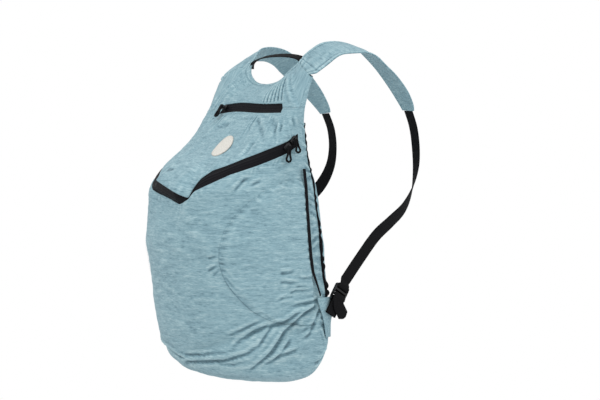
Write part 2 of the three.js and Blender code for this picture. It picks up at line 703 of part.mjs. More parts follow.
const place = (p, acrossMm, forwardMm, upMm) => vec(p.across * acrossMm, p.forward * forwardMm, p.up * upMm);
const lockMiddle = place(lockAt, bagWidth / 2, strapReach, bagHeight);
const lockAngle = THREE.MathUtils.degToRad(lockTilt);
const lockUp = vec(0, Math.cos(lockAngle), Math.sin(lockAngle));
const lockOut = vec(1, 0, 0);
const lockAcross = lockUp.clone().cross(lockOut);
const lockFrame = new THREE.Matrix4().makeBasis(lockAcross, lockUp, lockOut).setPosition(lockMiddle);

// The ladder lock in its own frame: X across the webbing, Y up along it, Z away from the wearer
function ladderLock() {
  const round = 4;
  const [w, l] = [lockWidth / 2, lockLength / 2];
  const outline = new THREE.Shape();
  outline.moveTo(-w + round, -l);
  outline.lineTo(w - round, -l);
  outline.absarc(w - round, -l + round, round, -Math.PI / 2, 0, false);
  outline.lineTo(w, l - round);
  outline.absarc(w - round, l - round, round, 0, Math.PI / 2, false);
  outline.lineTo(-w + round, l);
  outline.absarc(-w + round, l - round, round, Math.PI / 2, Math.PI, false);
  outline.lineTo(-w, -l + round);
  outline.absarc(-w + round, -l + round, round, Math.PI, (3 * Math.PI) / 2, false);
  const plate = new THREE.ExtrudeGeometry(outline, {
    depth: lockWall,
    bevelEnabled: false,
    curveSegments: 3,
  });
  plate.translate(0, 0, -lockWall / 2);
  let solid = toSolid(plate);
  for (const [from, to] of lockSlots) {
    const slot = new THREE.BoxGeometry(slotWidth, to - from, 3 * lockWall);
    slot.translate(0, (from + to) / 2, 0);
    solid = solid.subtract(toSolid(slot));
  }
  return toGeometry(solid);
}

const slotWidth = webWidth + 2;
const slotGap = (lockLength - 4 * lockBar) / 3;
const lockSlots = [0, 1, 2].map((i) => {
  const from = -lockLength / 2 + lockBar + i * (slotGap + lockBar);
  return [from, from + slotGap];
});

const lockGeometry = ladderLock();
lockGeometry.applyMatrix4(lockFrame);
addPair("ladder_lock", lockGeometry, "plastic");

// A point of a webbing's path in the lock's frame: y up along it, z away from the wearer
const inLock = (y, z) => vec(0, y, z).applyMatrix4(lockFrame);

// Stations along a path in the lock's frame
function lockStations(path, across) {
  return path.map(([y, z], i) => {
    const [y0, z0] = path[Math.max(i - 1, 0)];
    const [y1, z1] = path[Math.min(i + 1, path.length - 1)];
    const way = vec(0, y1 - y0, z1 - z0).transformDirection(lockFrame);
    return { middle: inLock(y, z), across, outward: across.clone().cross(way).normalize(), width: webWidth };
  });
}

const clear = lockWall / 2 + webWall / 2 + restGap;
const slotMiddle = lockSlots.map(([from, to]) => (from + to) / 2);

// From above it passes before the top bar, behind the upper middle bar and out in front again
const tailLift = clear + webWall + restGap;
const threaded = [
  [lockLength / 2 + 2, clear],
  [slotMiddle[2] + 1.2, clear - 0.5],
  [slotMiddle[2], 0],
  [slotMiddle[2] - 1.2, -clear + 0.5],
  [(slotMiddle[1] + slotMiddle[2]) / 2, -clear],
  [slotMiddle[1] + 1.2, -clear + 0.5],
  [slotMiddle[1], 0],
  [slotMiddle[1] - 1.2, clear - 0.5],
  [slotMiddle[1] - 4, clear + 1.2],
  [slotMiddle[0] - 1, tailLift],
];

// Below the lock its tail swings forward
function tailStations() {
  const middle = inLock(slotMiddle[0] - 1, tailLift + 0.2);
  const steps = 8;
  return Array.from({ length: steps }, (_, i) => {
    const turn = lockAngle + THREE.MathUtils.degToRad(tailTurn) * Math.min((i + 1) / 4, 1);
    const way = vec(0, -Math.cos(turn), -Math.sin(turn));
    middle.addScaledVector(way, tailLength / steps);
    const across = way.clone().cross(vec(1, 0, 0));
    return { middle: middle.clone(), across, outward: vec(1, 0, 0), width: webWidth };
  });
}
const webStations = stationsOf(webPath, 24, webStation);
const strapEnd = strapStations[strapStations.length - 1];
const webSteps = [
  ...webStations.filter((s) => s.middle.distanceTo(strapEnd.middle) > restGap),
  ...lockStations(threaded, lockAcross.clone().negate()),
  ...tailStations(),
];
addPair("webbing", band(webSteps, webWall), "webbing");

// The anchor loop: a doubled webbing round the lock's lowest bar, sewn to the wing
const anchorPath = [
  [-lockLength / 2 - anchorReach, 3.2],
  [-lockLength / 2 - 9, 2.8],
  [-lockLength / 2 - 1, clear],
  [-lockLength / 2 + lockBar - 0.6, clear],
  [slotMiddle[0] - 0.4, clear - 0.8],
  [slotMiddle[0] + 0.2, 0],
  [slotMiddle[0] - 0.4, -clear + 0.8],
  [-lockLength / 2 + lockBar - 0.6, -clear],
  [-lockLength / 2 - 1, -clear + 0.6],
  [-lockLength / 2 - 9, 0.6],
  [-lockLength / 2 - anchorReach, 1.1],
];
addPair("anchor_loop", band(lockStations(anchorPath, lockAcross), webWall), "webbing");

// The wing: a cloth gusset that follows the side of the bag, then stands out to the anchor loop
function wing() {
  const rise = clothWall + 2 * restGap + 1.6;
  const topRow = rowOf(wingRoot.topLevel);
  const lowRow = rowOf(wingRoot.lowLevel);
  const tip = place(wingTip, bagWidth / 2, strapReach, bagHeight);
  const foot = place(wingFoot, bagWidth / 2, strapReach, bagHeight);
  const cellsUp = 4;
  const columnsOn = 4;
  const at = (lift) => (i, j) => {
    const up = j / cellsUp;
    if (i === columnsOn) return foot.clone().lerp(tip, up).add(vec(lift, 0, 0));
    const from = wingRoot.lowGirth + (wingRoot.girth - wingRoot.lowGirth) * up;
    const girth = from + ((wingRoot.lastGirth - from) * i) / (columnsOn - 1);
    return clothPoint(girth, lowRow + (topRow - lowRow) * up, rise + lift);
  };
  return wall(columnsOn + 1, cellsUp + 1, at(0), at(-clothWall));
}
addPair("wing", wing(), "cloth");

// The haul loop arches across the neck opening between the ends of the yoke
function haulLoop() {
  const reach = neckWidth / 2 - 2.7;
  const low = edgePoint(neckEdge, neckEdge.length - 1, 0, neckDrop).add(vec(0, 5.3, -6));
  const lean = 0.35;
  const stations = Array.from({ length: 17 }, (_, i) => {
    const angle = Math.PI * (1 - i / 16);
    const bow = Math.sin(angle) ** 0.65;
    const middle = vec(reach * Math.cos(angle), low.y + haulLean * bow * bow, low.z + haulRise * bow);
    return { middle, width: haulWidth };
  });
  stations.forEach((s, i) => {
    const before = stations[Math.max(i - 1, 0)].middle;
    const after = stations[Math.min(i + 1, 16)].middle;
    const way = after.clone().sub(before).normalize();
    s.across = vec(0, -Math.cos(lean), -Math.sin(lean));
    s.across.addScaledVector(way, -s.across.dot(way)).normalize();
    s.outward = s.across.clone().cross(way).normalize();
  });
  return band(stations, webWall);
}
add("haul_loop", haulLoop(), "webbing");

// The side pocket lies on the body, open towards the wearer along its taped mouth
const pocketRise = pocketGap + pocketWall;
const mouthEnd = mouthGirth - pocketTapeWidth / 2 / (bagWidth * 1.55);

function sidePocket(side) {
  const at = (lift) => (i, j) => {
    const { level, girth } = pocketSeam[j];
    const share = side > 0 ? i / pocketColumns : 1 - i / pocketColumns;
    return facetPoint(side * (girth + (mouthEnd - girth) * share), rowOf(level), pocketGap + lift);
  };
  return wall(pocketColumns + 1, pocketSeam.length, at(pocketWall), at(0));
}
for (const [name, side] of sides) add(`side_pocket_${name}`, sidePocket(side), "cloth");

// A band that follows the cloth at a girth between two levels
function clothBand(girth, fromLevel, toLevel, width, thickness, lift, steps) {
  const stations = Array.from({ length: steps + 1 }, (_, i) => {
    const t = rowOf(fromLevel + ((toLevel - fromLevel) * i) / steps);
    const out = outward(girth, t);
    const way = clothPoint(girth, t + 0.05).sub(clothPoint(girth, t - 0.05)).normalize();
    const middle = clothPoint(girth, t, lift + thickness / 2);
    return { middle, across: way.clone().cross(out).normalize(), outward: out, width };
  });
  return band(stations, thickness);
}

const pocketTop = pocketSeam[pocketSeam.length - 1].level;
const tapeLift = pocketRise + restGap;
const tapeEnds = [wingRoot.topLevel + 0.01, pocketTop + 0.045];
const bindingEnds = [wingRoot.topLevel + 0.03, 0.87];
for (const [name, side] of sides) {
  const tape = clothBand(side * mouthGirth, ...tapeEnds, pocketTapeWidth, pocketTapeWall, tapeLift, 16);
  add(`pocket_tape_${name}`, tape, "webbing");
  // The binding stands on the seam between the body and the back panel
  const binding = clothBand(side * backSeamGirth, ...bindingEnds, bindingWall, bindingStand, restGap, 22);
  add(`back_binding_${name}`, binding, "webbing");
}

// A blank oval patch that climbs the lid, leaning a little to the wearer's left
function patch() {
  const row = rowOf(patchPlace.level);
  const middle = plainPoint(patchPlace.girth, row);
  const aroundMm = plainPoint(patchPlace.girth + 0.01, row).distanceTo(middle) / 0.01;
  const upMm = plainPoint(patchPlace.girth, row + 0.1).distanceTo(plainPoint(patchPlace.girth, row)) / 0.1;
  const steps = 20;
  const rings = 3;
  const turn = THREE.MathUtils.degToRad(patchTurn);
  const at = (lift) => (i, j) => {
    const angle = (2 * Math.PI * i) / steps;
    const share = 1 - j / rings;
    const x = (patchLength / 2) * share * Math.cos(angle);
    const y = (patchWidth / 2) * share * Math.sin(angle);
    const u = (x * Math.cos(turn) - y * Math.sin(turn)) / aroundMm;
    const v = (x * Math.sin(turn) + y * Math.cos(turn)) / upMm;
    return facetPoint(patchPlace.girth + u, row + v, 3 * restGap + lift);
  };
  return wall(steps, rings + 1, at(patchWall), at(0), { closed: true });
}
add("patch", patch(), "patch");

// A zip slider with a bail over its back, in its own frame: Y along the zip, Z away from the cloth
function slider() {
  const [w, l] = [sliderWidth / 2, sliderLength / 2];
  const outline = new THREE.Shape();
  outline.moveTo(-w * 0.6, -l);
  outline.lineTo(w * 0.6, -l);
  outline.lineTo(w, l * 0.3);
  outline.lineTo(w * 0.75, l);
  outline.lineTo(-w * 0.75, l);
  outline.lineTo(-w, l * 0.3);
  outline.closePath();
  const block = new THREE.ExtrudeGeometry(outline, { depth: sliderWall * 0.55, bevelEnabled: false });
  const arch = new THREE.Shape();
  const foot = l * 0.75;
  const rise = sliderWall;
  arch.moveTo(-foot, 0.2);
  arch.lineTo(-foot * 0.8, rise);
  arch.lineTo(foot * 0.8, rise);
  arch.lineTo(foot, 0.2);
  arch.lineTo(foot - bailWall, 0.2);
  arch.lineTo(foot * 0.8 - bailWall, rise - bailWall);
  arch.lineTo(-foot * 0.8 + bailWall, rise - bailWall);
  arch.lineTo(-foot + bailWall, 0.2);
  arch.closePath();
  const bail = new THREE.ExtrudeGeometry(arch, { depth: bailWall * 1.4, bevelEnabled: false });
  bail.translate(0, 0, -bailWall * 0.7);
  bail.rotateX(Math.PI / 2);
  bail.rotateZ(Math.PI / 2);
  bail.translate(0, 0, sliderWall * 0.55 - 0.4);
  return toGeometry(toSolid(block).add(toSolid(bail)));
}

// A cord pull hanging as an open loop from the slider's bail, in the slider's frame turned to hang down
function pullPath(drop, lean) {
  const half = pullCord * 0.75;
  const top = 0;
  return new THREE.CatmullRomCurve3([
    vec(-half, top, 0),
    vec(-half - 0.2, -drop * 0.3, lean * 0.3),
    vec(-half - 0.8, -drop * 0.62, lean * 0.7),
    vec(-pullEyeRadius, -drop * 0.84, lean),
    vec(-pullEyeRadius * 0.72, -drop * 0.97, lean),
    vec(0, -drop * 1.03, lean),
    vec(pullEyeRadius * 0.72, -drop * 0.97, lean),
    vec(pullEyeRadius, -drop * 0.84, lean),
    vec(half + 0.8, -drop * 0.62, lean * 0.7),
    vec(half + 0.2, -drop * 0.3, lean * 0.3),
    vec(half, top, 0),
  ]);
}

const pullSides = 3;
const pullSteps = 16;

function pull(drop, lean) {
  const section = new THREE.Shape();
  section.absarc(0, 0, pullCord / 2, 0, 2 * Math.PI, false);
  const options = { steps: pullSteps, extrudePath: pullPath(drop, lean), curveSegments: pullSides };
  return toGeometry(toSolid(new THREE.ExtrudeGeometry(section, { ...options, bevelEnabled: false })));
}

// Where each slider stands on its zip, which way it faces and how its pull hangs
const sliderPlaces = [
  { name: "top_slider", zip: "top", girth: -topZipGirth + 0.02, lift: 1.5, tilt: 12, drop: pullDrop },
  { name: "main_slider_a", zip: "main", girth: zipEndGirth - 0.05, lift: 0.4, tilt: -8, drop: pullDrop },
  { name: "main_slider_b", zip: "main", girth: zipEndGirth - 0.017, lift: 0.4, tilt: 10, drop: pullDrop * 0.85 },
];

for (const { name, zip, girth, lift, tilt, drop } of sliderPlaces) {
  const row = zip === "top" ? hemRow : rowOf(zipLevel(girth));
  const nextGirth = girth + 0.01;
  const nextRow = zip === "top" ? hemRow : rowOf(zipLevel(nextGirth));
  const out = outward(girth, row);
  const way = clothPoint(nextGirth, nextRow).sub(clothPoint(girth, row));
  way.addScaledVector(out, -way.dot(out)).normalize();
  const origin = facetPoint(girth, row, lift);
  const frame = new THREE.Matrix4().makeBasis(way.clone().cross(out), way, out).setPosition(origin);
  const body = slider();
  body.applyMatrix4(frame);
  add(name, body, "plastic");
  const hang = vec(0, 0, -1).addScaledVector(out, out.z).normalize();
  hang.applyAxisAngle(out, THREE.MathUtils.degToRad(tilt));
  const start = origin.clone().addScaledVector(out, sliderWall * 0.55 + sliderWall - 0.4 + pullCord / 2 + 0.4);
  const side = hang.clone().negate().cross(out).normalize();
  const hangFrame = new THREE.Matrix4().makeBasis(side, hang.clone().negate(), out).setPosition(start);
  const cord = pull(drop, pullLean);
  cord.applyMatrix4(hangFrame);
  add(name.replace("slider", "pull"), cord, "webbing");
}

export default backpack;
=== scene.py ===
"""Looks of a light fold-away backpack in its worn shape. Lengths are in millimetres until a mesh is made."""

import math

import bmesh
import bpy
import numpy as np
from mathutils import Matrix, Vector

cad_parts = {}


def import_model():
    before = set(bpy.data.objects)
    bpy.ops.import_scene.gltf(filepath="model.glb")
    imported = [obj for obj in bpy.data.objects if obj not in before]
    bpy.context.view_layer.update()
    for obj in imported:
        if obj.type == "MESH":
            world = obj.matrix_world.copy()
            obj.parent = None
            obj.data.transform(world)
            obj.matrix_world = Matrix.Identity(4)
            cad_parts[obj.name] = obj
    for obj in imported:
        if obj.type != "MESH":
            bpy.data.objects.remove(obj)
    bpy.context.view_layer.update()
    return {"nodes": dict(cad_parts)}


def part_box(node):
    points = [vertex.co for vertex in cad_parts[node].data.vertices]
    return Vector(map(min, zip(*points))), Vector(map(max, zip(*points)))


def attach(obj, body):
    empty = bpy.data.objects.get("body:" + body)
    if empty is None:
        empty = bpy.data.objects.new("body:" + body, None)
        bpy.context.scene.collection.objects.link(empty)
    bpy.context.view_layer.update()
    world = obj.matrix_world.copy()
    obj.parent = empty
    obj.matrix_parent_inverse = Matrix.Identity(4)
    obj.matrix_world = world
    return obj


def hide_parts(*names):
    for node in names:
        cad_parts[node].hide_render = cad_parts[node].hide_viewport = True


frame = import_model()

MM = 0.001

# The bag, as in the frame
BAG_WIDTH = 308.0
BAG_FRONT = 180.0
BAG_BACK = 53.0
BAG_HEIGHT = 470.0
BAG_TOP = -61.0
BASE_TILT = 15.0
SIDE_SAG = 9.0
BEAK_LIFT = 10.0
BEAK_TUCK = 5.0
BEAK_FADE = 75.0
MAIN_ZIP_WIDTH = 16.0
TOP_ZIP_WIDTH = 18.0
TOP_ZIP_ENDS = (-71.0, 94.0)
HEM_ARCH = 5.0
NECK_WIDTH = 128.0
NECK_DROP = 54.0
SHOULDER_HALF = 110.0
STRAP_WIDTH = 57.0
STRAP_REACH = 197.0
STRAP_DROP = 96.0
WEB_WIDTH = 21.0
WEB_WALL = 1.6
HAUL_WIDTH = 16.0
HAUL_RISE = 19.0
HAUL_LEAN = -6.0
LOCK_LENGTH = 28.0
LOCK_WALL = 4.0
LOCK_BAR = 3.0
LOCK_TILT = math.radians(58)
TAIL_LENGTH = 34.0
TAIL_TURN = math.radians(62)
ANCHOR_REACH = 24.0
REST_GAP = 0.5
AROUND = 480.0  # length of cloth that a girth of 1 stands for
ZIP_END = 0.488
MOUTH = 0.495
BACK_SEAM = 0.56
HEM_ROW = 14.0
BASE_ROW = 4.0
LAST_ROW = 15.0

# Sections of the bag: level, half width, the seam's place, depth in front and behind, squareness of both
SECTIONS = np.array([
    [0.0, 0.0, -0.4, 0.0, 0.0, 2.2, 2.4],
    [0.006, 0.54, -0.33, 0.5, 0.42, 2.3, 2.6],
    [0.025, 0.79, -0.25, 0.68, 0.54, 2.4, 3.0],
    [0.058, 0.92, -0.2, 0.805, 0.56, 2.4, 3.4],
    [0.111, 0.98, -0.165, 0.88, 0.62, 2.4, 3.8],
    [0.181, 1.0, -0.16, 0.925, 0.72, 2.4, 4.0],
    [0.272, 1.0, -0.19, 0.935, 0.81, 2.4, 4.0],
    [0.399, 0.987, -0.24, 0.935, 0.93, 2.4, 4.0],
    [0.479, 0.974, -0.256, 0.96, 0.96, 2.4, 4.0],
    [0.597, 0.929, -0.256, 0.935, 0.89, 2.5, 4.0],
    [0.656, 0.896, -0.246, 0.9, 0.78, 2.9, 4.0],
    [0.728, 0.864, -0.25, 0.69, 0.58, 3.6, 4.0],
    [0.794, 0.851, -0.268, 0.4, 0.5, 4.0, 4.0],
    [0.856, 0.83, -0.264, 0.225, 0.41, 4.0, 4.0],
    [0.925, 0.82, -0.24, 0.075, 0.29, 4.0, 4.0],
    [1.0, 0.825, -0.124, 0.03, 0.1, 4.0, 4.0],
])

# The cloth's edges above and below the main zip: girth, level
LID_EDGE = np.array([
    [-0.488, 0.836], [-0.43, 0.808], [-0.333, 0.77], [-0.256, 0.742], [-0.2, 0.718], [-0.16, 0.699],
    [-0.14, 0.688], [-0.125, 0.68], [-0.079, 0.668], [0.002, 0.65], [0.063, 0.6365],
    [0.1, 0.626], [0.107, 0.632], [0.112, 0.65], [0.113, 0.668], [0.12, 0.693], [0.147, 0.718],
    [0.193, 0.733], [0.256, 0.759], [0.333, 0.785], [0.43, 0.813], [0.488, 0.838],
])
FRONT_EDGE = np.array([
    [-0.488, 0.8], [-0.431, 0.772], [-0.347, 0.738], [-0.291, 0.716], [-0.228, 0.69], [-0.18, 0.671],
    [-0.15, 0.66], [-0.13, 0.653], [-0.115, 0.648], [-0.045, 0.634], [0.007, 0.619], [0.052, 0.605],
    [0.073, 0.61], [0.1, 0.621], [0.106, 0.626], [0.112, 0.635], [0.123, 0.65], [0.173, 0.676],
    [0.228, 0.705], [0.291, 0.727], [0.347, 0.746], [0.431, 0.774], [0.488, 0.8],
])

# How the yoke side rises past the top zip, over the half width: across, rise, lean
CROWN = np.array([
    [0.0, 0.0, 0.0], [0.227, 0.08, 0.06], [0.325, 0.24, 0.13],
    [0.403, 0.44, 0.26], [0.617, 0.42, 0.18], [0.825, 0.27, 0.0],
])

# The neck opening's edge: across, forward, down
NECK_EDGE = np.array([
    [0.0, -0.296, 1.0], [0.3, -0.285, 0.965], [0.56, -0.26, 0.861],
    [0.789, -0.204, 0.648], [0.945, -0.08, 0.45], [1.0, 0.0, 0.352],
])

# The right strap's line: across, forward, up, width, slope, skew
STRAP_PATH = np.array([
    [0.864, -0.056, -0.318, 1.18, 20, 20],
    [0.89, 0.008, -0.2, 1.14, 18, 12],
    [0.932, 0.094, -0.073, 1.05, 17.5, 3],
    [0.97, 0.173, 0.005, 1.01, 21, 0],
    [1.002, 0.289, 0.038, 1.0, 22, 0],
    [1.027, 0.416, 0.031, 1.0, 18.5, 0],
    [1.036, 0.518, -0.036, 1.0, 17.5, 0],
    [1.045, 0.607, -0.167, 1.0, 18, 0],
    [1.05, 0.736, -0.375, 0.96, 15, 0],
    [1.036, 0.873, -0.646, 0.84, 10, 0],
    [1.018, 0.964, -0.875, 0.66, 6, 0],
    [1.009, 1.0, -1.0, 0.5, 4, 0],
])

# The right webbing's line, from the strap to the lock: across, forward, up, turn
WEB_PATH = np.array([
    [0.721, 1.004, -0.206, 0],
    [0.716, 1.066, -0.266, 1],
    [0.722, 1.091, -0.34, 4],
    [0.75, 1.071, -0.415, 14],
    [0.81, 0.985, -0.489, 35],
    [0.89, 0.832, -0.551, 58],
    [0.962, 0.635, -0.596, 78],
    [1.005, 0.442, -0.643, 88],
    [1.022, 0.25, -0.721, 90],
    [1.028, 0.1, -0.789, 90],
])
LOCK_AT = (1.034, 0.038, -0.83)
WING_TIP = (0.99, 0.03, -0.838)
WING_FOOT = (0.996, -0.045, -0.955)
WING_WALL = 1.6
YOKE_WALL = 1.6
WING_ROOT = {"girth": 0.505, "top": 0.29, "low": 0.16, "low_girth": 0.53, "last": 0.558}

# The side pocket's sewn edge: level, girth
POCKET_SEAM = np.array([
    [0.2, 0.44], [0.208, 0.385], [0.218, 0.346], [0.236, 0.312], [0.259, 0.281], [0.289, 0.256],
    [0.318, 0.235], [0.355, 0.216], [0.393, 0.206], [0.424, 0.205], [0.483, 0.215], [0.54, 0.235],
    [0.6, 0.285], [0.65, 0.35], [0.69, 0.44],
])
PATCH_AT = (0.065, 0.796)
PATCH_LENGTH = 56.0
PATCH_WIDTH = 36.0
PATCH_TURN = math.radians(113)
PATCH_STEPS = 96

# A stitch, and the triangles of an octahedron whose corners are two ends, two sides, foot and top
STITCH_PITCH = 3.4
STITCH_LENGTH = 2.3
STITCH_WIDTH = 0.62
STITCH_HEIGHT = 0.32
OCTAHEDRON = np.array([
    [0, 2, 5], [2, 1, 5], [1, 3, 5], [3, 0, 5], [2, 0, 4], [1, 2, 4], [3, 1, 4], [0, 3, 4],
])

SIDES = (("right", 1), ("left", -1))
SHARP_ANGLE = 40  # degrees
YOKE_STEP = 8.0  # millimetres of cloth from one place along the yoke to the next
YOKE_RISE = 55.0
FOOT_UV = 40  # cloth length of a row at the foot, where the levels lie close together
YOKE_UV, STRAP_UV = 600, 700  # where the yoke and the straps start in the cloth's pattern
STRAP_STEPS = 190
ROOT_STEPS = 6
ROOT_STEP = 2.5
STRAP_EDGE = 1.6
STRAP_FLARE = {1: 12, -1: 3}
HEM_ROW_HEIGHT = 32  # millimetres of cloth in one row under the top zip
FOLD_AROUND = BAG_WIDTH * 1.55  # length of cloth that a girth of 1 stands for in the main folds

# Main folds that the frame has too: from girth, from level, to girth, to level, width, depth
MAIN_FOLDS = np.array([
    [0.5, 0.303, 0.36, 0.321, 0.045, -0.012],
    [0.5, 0.28, 0.38, 0.264, 0.04, -0.016],
    [0.5, 0.26, 0.35, 0.145, 0.05, -0.02],
    [0.36, 0.221, 0.0, 0.058, 0.05, -0.02],
    [0.48, 0.102, 0.26, 0.061, 0.045, -0.014],
    [0.32, 0.712, 0.25, 0.654, 0.05, -0.014],
    [-0.5, 0.28, -0.36, 0.25, 0.045, -0.016],
    [-0.49, 0.25, -0.3, 0.11, 0.05, -0.02],
    [-0.4, 0.09, -0.1, 0.06, 0.045, -0.014],
    [-0.34, 0.7, -0.26, 0.64, 0.05, -0.014],
])

# Creases of the cloth: points (girth, level), width and depth; a crease has a valley and a ridge above it
CREASES = [
    ([(-0.048, 0.029), (0.11, 0.063), (0.188, 0.079), (0.262, 0.113), (0.304, 0.151),
      (0.34, 0.188)], 3.5, 4.1),
    ([(0.512, 0.282), (0.464, 0.274), (0.426, 0.271), (0.396, 0.263)], 2.7, 3.0),
    ([(0.508, 0.269), (0.478, 0.25), (0.438, 0.228), (0.408, 0.203), (0.38, 0.181), (0.338, 0.121),
      (0.276, 0.049), (0.216, 0.04)], 3.6, 4.6),
    ([(0.496, 0.258), (0.458, 0.248), (0.418, 0.239), (0.378, 0.214), (0.326, 0.203), (0.286, 0.186),
      (0.23, 0.141), (0.188, 0.102)], 3.4, 3.8),
    ([(0.35, 0.211), (0.324, 0.183), (0.306, 0.158), (0.288, 0.123)], 2.8, 2.6),
    ([(0.516, 0.248), (0.49, 0.224), (0.474, 0.196), (0.448, 0.188), (0.426, 0.177)], 2.8, 2.8),
    ([(0.426, 0.126), (0.368, 0.106), (0.344, 0.087), (0.31, 0.072)], 3.3, 3.0),
    ([(0.564, 0.124), (0.53, 0.085), (0.492, 0.079)], 3.3, 2.8),
    ([(0.382, 0.379), (0.41, 0.379), (0.438, 0.387)], 3.0, 2.2),
    ([(0.404, 0.31), (0.43, 0.318), (0.488, 0.318)], 2.5, 2.0),
    ([(0.374, 0.349), (0.398, 0.348), (0.448, 0.34)], 3.0, 2.0),
    ([(0.17, 0.428), (0.205, 0.438)], 2.4, 1.9),
    ([(0.165, 0.387), (0.2, 0.406)], 2.4, 1.9),
    ([(0.178, 0.372), (0.204, 0.392)], 2.2, 1.6),
    ([(0.166, 0.893), (0.274, 0.844), (0.326, 0.807)], 5.3, 2.3),
    ([(0.294, 0.888), (0.356, 0.865), (0.358, 0.829), (0.348, 0.807)], 5.3, 2.8),
    ([(0.388, 0.873), (0.384, 0.837)], 5.1, 2.4),
    ([(0.45, 0.895), (0.478, 0.858)], 4.2, 2.2),
    ([(0.244, 0.756), (0.248, 0.799), (0.274, 0.822)], 5.3, 2.0),
    ([(-0.054, 0.869), (-0.196, 0.858)], 5.3, 1.8),
    ([(-0.042, 0.704), (-0.126, 0.706)], 3.1, 1.8),
    ([(0.252, 0.648), (0.278, 0.689), (0.306, 0.694)], 3.1, 2.3),
    ([(0.336, 0.685), (0.296, 0.664)], 2.7, 1.8),
    ([(0.442, 0.721), (0.428, 0.571)], 13.0, 2.6),
    ([(0.09, 0.5), (0.14, 0.44), (0.17, 0.36)], 12.0, 1.6),
    ([(0.3, 0.6), (0.36, 0.52), (0.38, 0.44)], 11.0, 1.8),
    ([(0.5, 0.262), (0.45, 0.238), (0.42, 0.222), (0.39, 0.2)], 2.6, 2.2),
    ([(0.49, 0.21), (0.46, 0.17), (0.43, 0.15)], 2.8, 2.0),
    ([(0.4, 0.16), (0.37, 0.12), (0.33, 0.07)], 2.8, 2.2),
    ([(0.3, 0.2), (0.24, 0.16), (0.2, 0.12)], 2.8, 2.0),
    ([(0.16, 0.06), (0.22, 0.07), (0.28, 0.095)], 2.6, 1.8),
    ([(0.0, 0.07), (0.1, 0.085), (0.17, 0.11)], 2.8, 1.6),
    ([(0.47, 0.33), (0.44, 0.332), (0.41, 0.326)], 2.4, 1.6),
    ([(0.49, 0.36), (0.46, 0.358), (0.43, 0.364)], 2.4, 1.5),
    ([(0.42, 0.3), (0.38, 0.296), (0.35, 0.284)], 2.4, 1.6),
    ([(0.2, 0.17), (0.26, 0.2), (0.32, 0.228)], 2.6, 1.7),
]
CREASES += [
    ([(-g, level + 0.012) for g, level in points], width, depth) for points, width, depth in CREASES[:10]
]


def smooth(x):
    s = np.clip(x, 0.0, 1.0)
    return s * s * (3.0 - 2.0 * s)


def bell(x):
    return np.exp(-(x ** 2))


def unit(v):
    return v / np.maximum(np.linalg.norm(v, axis=-1, keepdims=True), 1e-12)


def heading(line):
    """Unit direction along a line of points."""
    return unit(np.gradient(line, axis=0))


def run_along(line):
    """Length from the start of a line to each of its points."""
    return np.concatenate([[0], np.cumsum(np.linalg.norm(np.diff(line, axis=0), axis=1))])


def along(rows, t):
    """Rows of a table at places t counted in rows, on a Catmull-Rom curve."""
    t = np.asarray(t, float)
    last = len(rows) - 1
    i = np.clip(np.floor(t).astype(int), 0, last - 1)
    f = (np.clip(t, 0, last) - i)[..., None]
    a, b, c, d = (rows[np.clip(i + k, 0, last)] for k in (-1, 0, 1, 2))
    return b + 0.5 * f * (c - a + f * (2 * a - 5 * b + 4 * c - d + f * (3 * (b - c) + d - a)))


def lattice_noise(u, v, seed):
    """Smooth noise from -1 to 1 with cells of size 1."""
    grid = np.random.default_rng(seed).uniform(-1, 1, (61, 67))
    iu, iv = np.floor(u).astype(int), np.floor(v).astype(int)
    fu, fv = smooth(u - iu), smooth(v - iv)
    at = lambda a, b: grid[(iu + a) % 61, (iv + b) % 67]
    low = at(0, 0) * (1 - fu) + at(1, 0) * fu
    high = at(0, 1) * (1 - fu) + at(1, 1) * fu
    return low * (1 - fv) + high * fv


# The bag's plain surface as a fine table over girth and row


TABLE_ROWS = np.linspace(0, LAST_ROW, 751)
TABLE_GIRTHS = np.linspace(0, 1, 401)


def quarter_oval(half, depth, square, shares):
    """Points at shares of the arc of a quarter oval from (0, depth) to (half, 0)."""
    run_up = np.linspace(0, 1, 500)
    angle = 0.5 * math.pi * smooth(run_up)
    x = half * np.sin(angle) ** (2 / square)
    y = depth * np.maximum(np.cos(angle), 0.0) ** (2 / square)
    run = np.concatenate([[0], np.cumsum(np.hypot(np.diff(x), np.diff(y)))])
    goal = shares * run[-1]
    return np.interp(goal, run, x), np.interp(goal, run, y)


def plain_table():
    level, wide, seam, front, back, front_sq, back_sq = along(SECTIONS, TABLE_ROWS).T
    points = np.zeros((len(TABLE_ROWS), len(TABLE_GIRTHS), 3))
    is_front = TABLE_GIRTHS <= 0.5
    for r, t in enumerate(TABLE_ROWS):
        half = max(wide[r] * BAG_WIDTH / 2, 0)
        fx, fy = quarter_oval(half, max(front[r] * BAG_FRONT, 0), front_sq[r], 2 * TABLE_GIRTHS[is_front])
        bx, by = quarter_oval(half, max(back[r] * BAG_BACK, 0), back_sq[r], 2 - 2 * TABLE_GIRTHS[~is_front])
        x = np.concatenate([fx, bx])
        y = np.concatenate([-fy, by])
        lift = NECK_DROP * smooth(t - HEM_ROW)
        share = 2 * x / BAG_WIDTH
        tilt = np.where(is_front, -BASE_TILT * y / BAG_FRONT * (1 - smooth(level[r] / 0.2)), 0)
        points[r, :, 0] = x
        points[r, :, 1] = seam[r] * BAG_FRONT + y + np.interp(share, CROWN[:, 0], CROWN[:, 2]) * lift
        points[r, :, 2] = (
            BAG_TOP + (level[r] - 1) * BAG_HEIGHT + np.interp(share, CROWN[:, 0], CROWN[:, 1]) * lift + tilt
        )
    return points


PLAIN = plain_table()


def normal_table():
    mirrored = PLAIN[:, 1:3] * [-1, 1, 1]
    wide = np.concatenate([mirrored[:, ::-1], PLAIN, PLAIN[:, -3:-1][:, ::-1] * [-1, 1, 1]], axis=1)
    around = np.gradient(wide, axis=1)[:, 2:-2]
    up = np.gradient(PLAIN, axis=0)
    normals = unit(np.cross(around, up))
    normals[:4] = (0, 0, -1)
    return normals


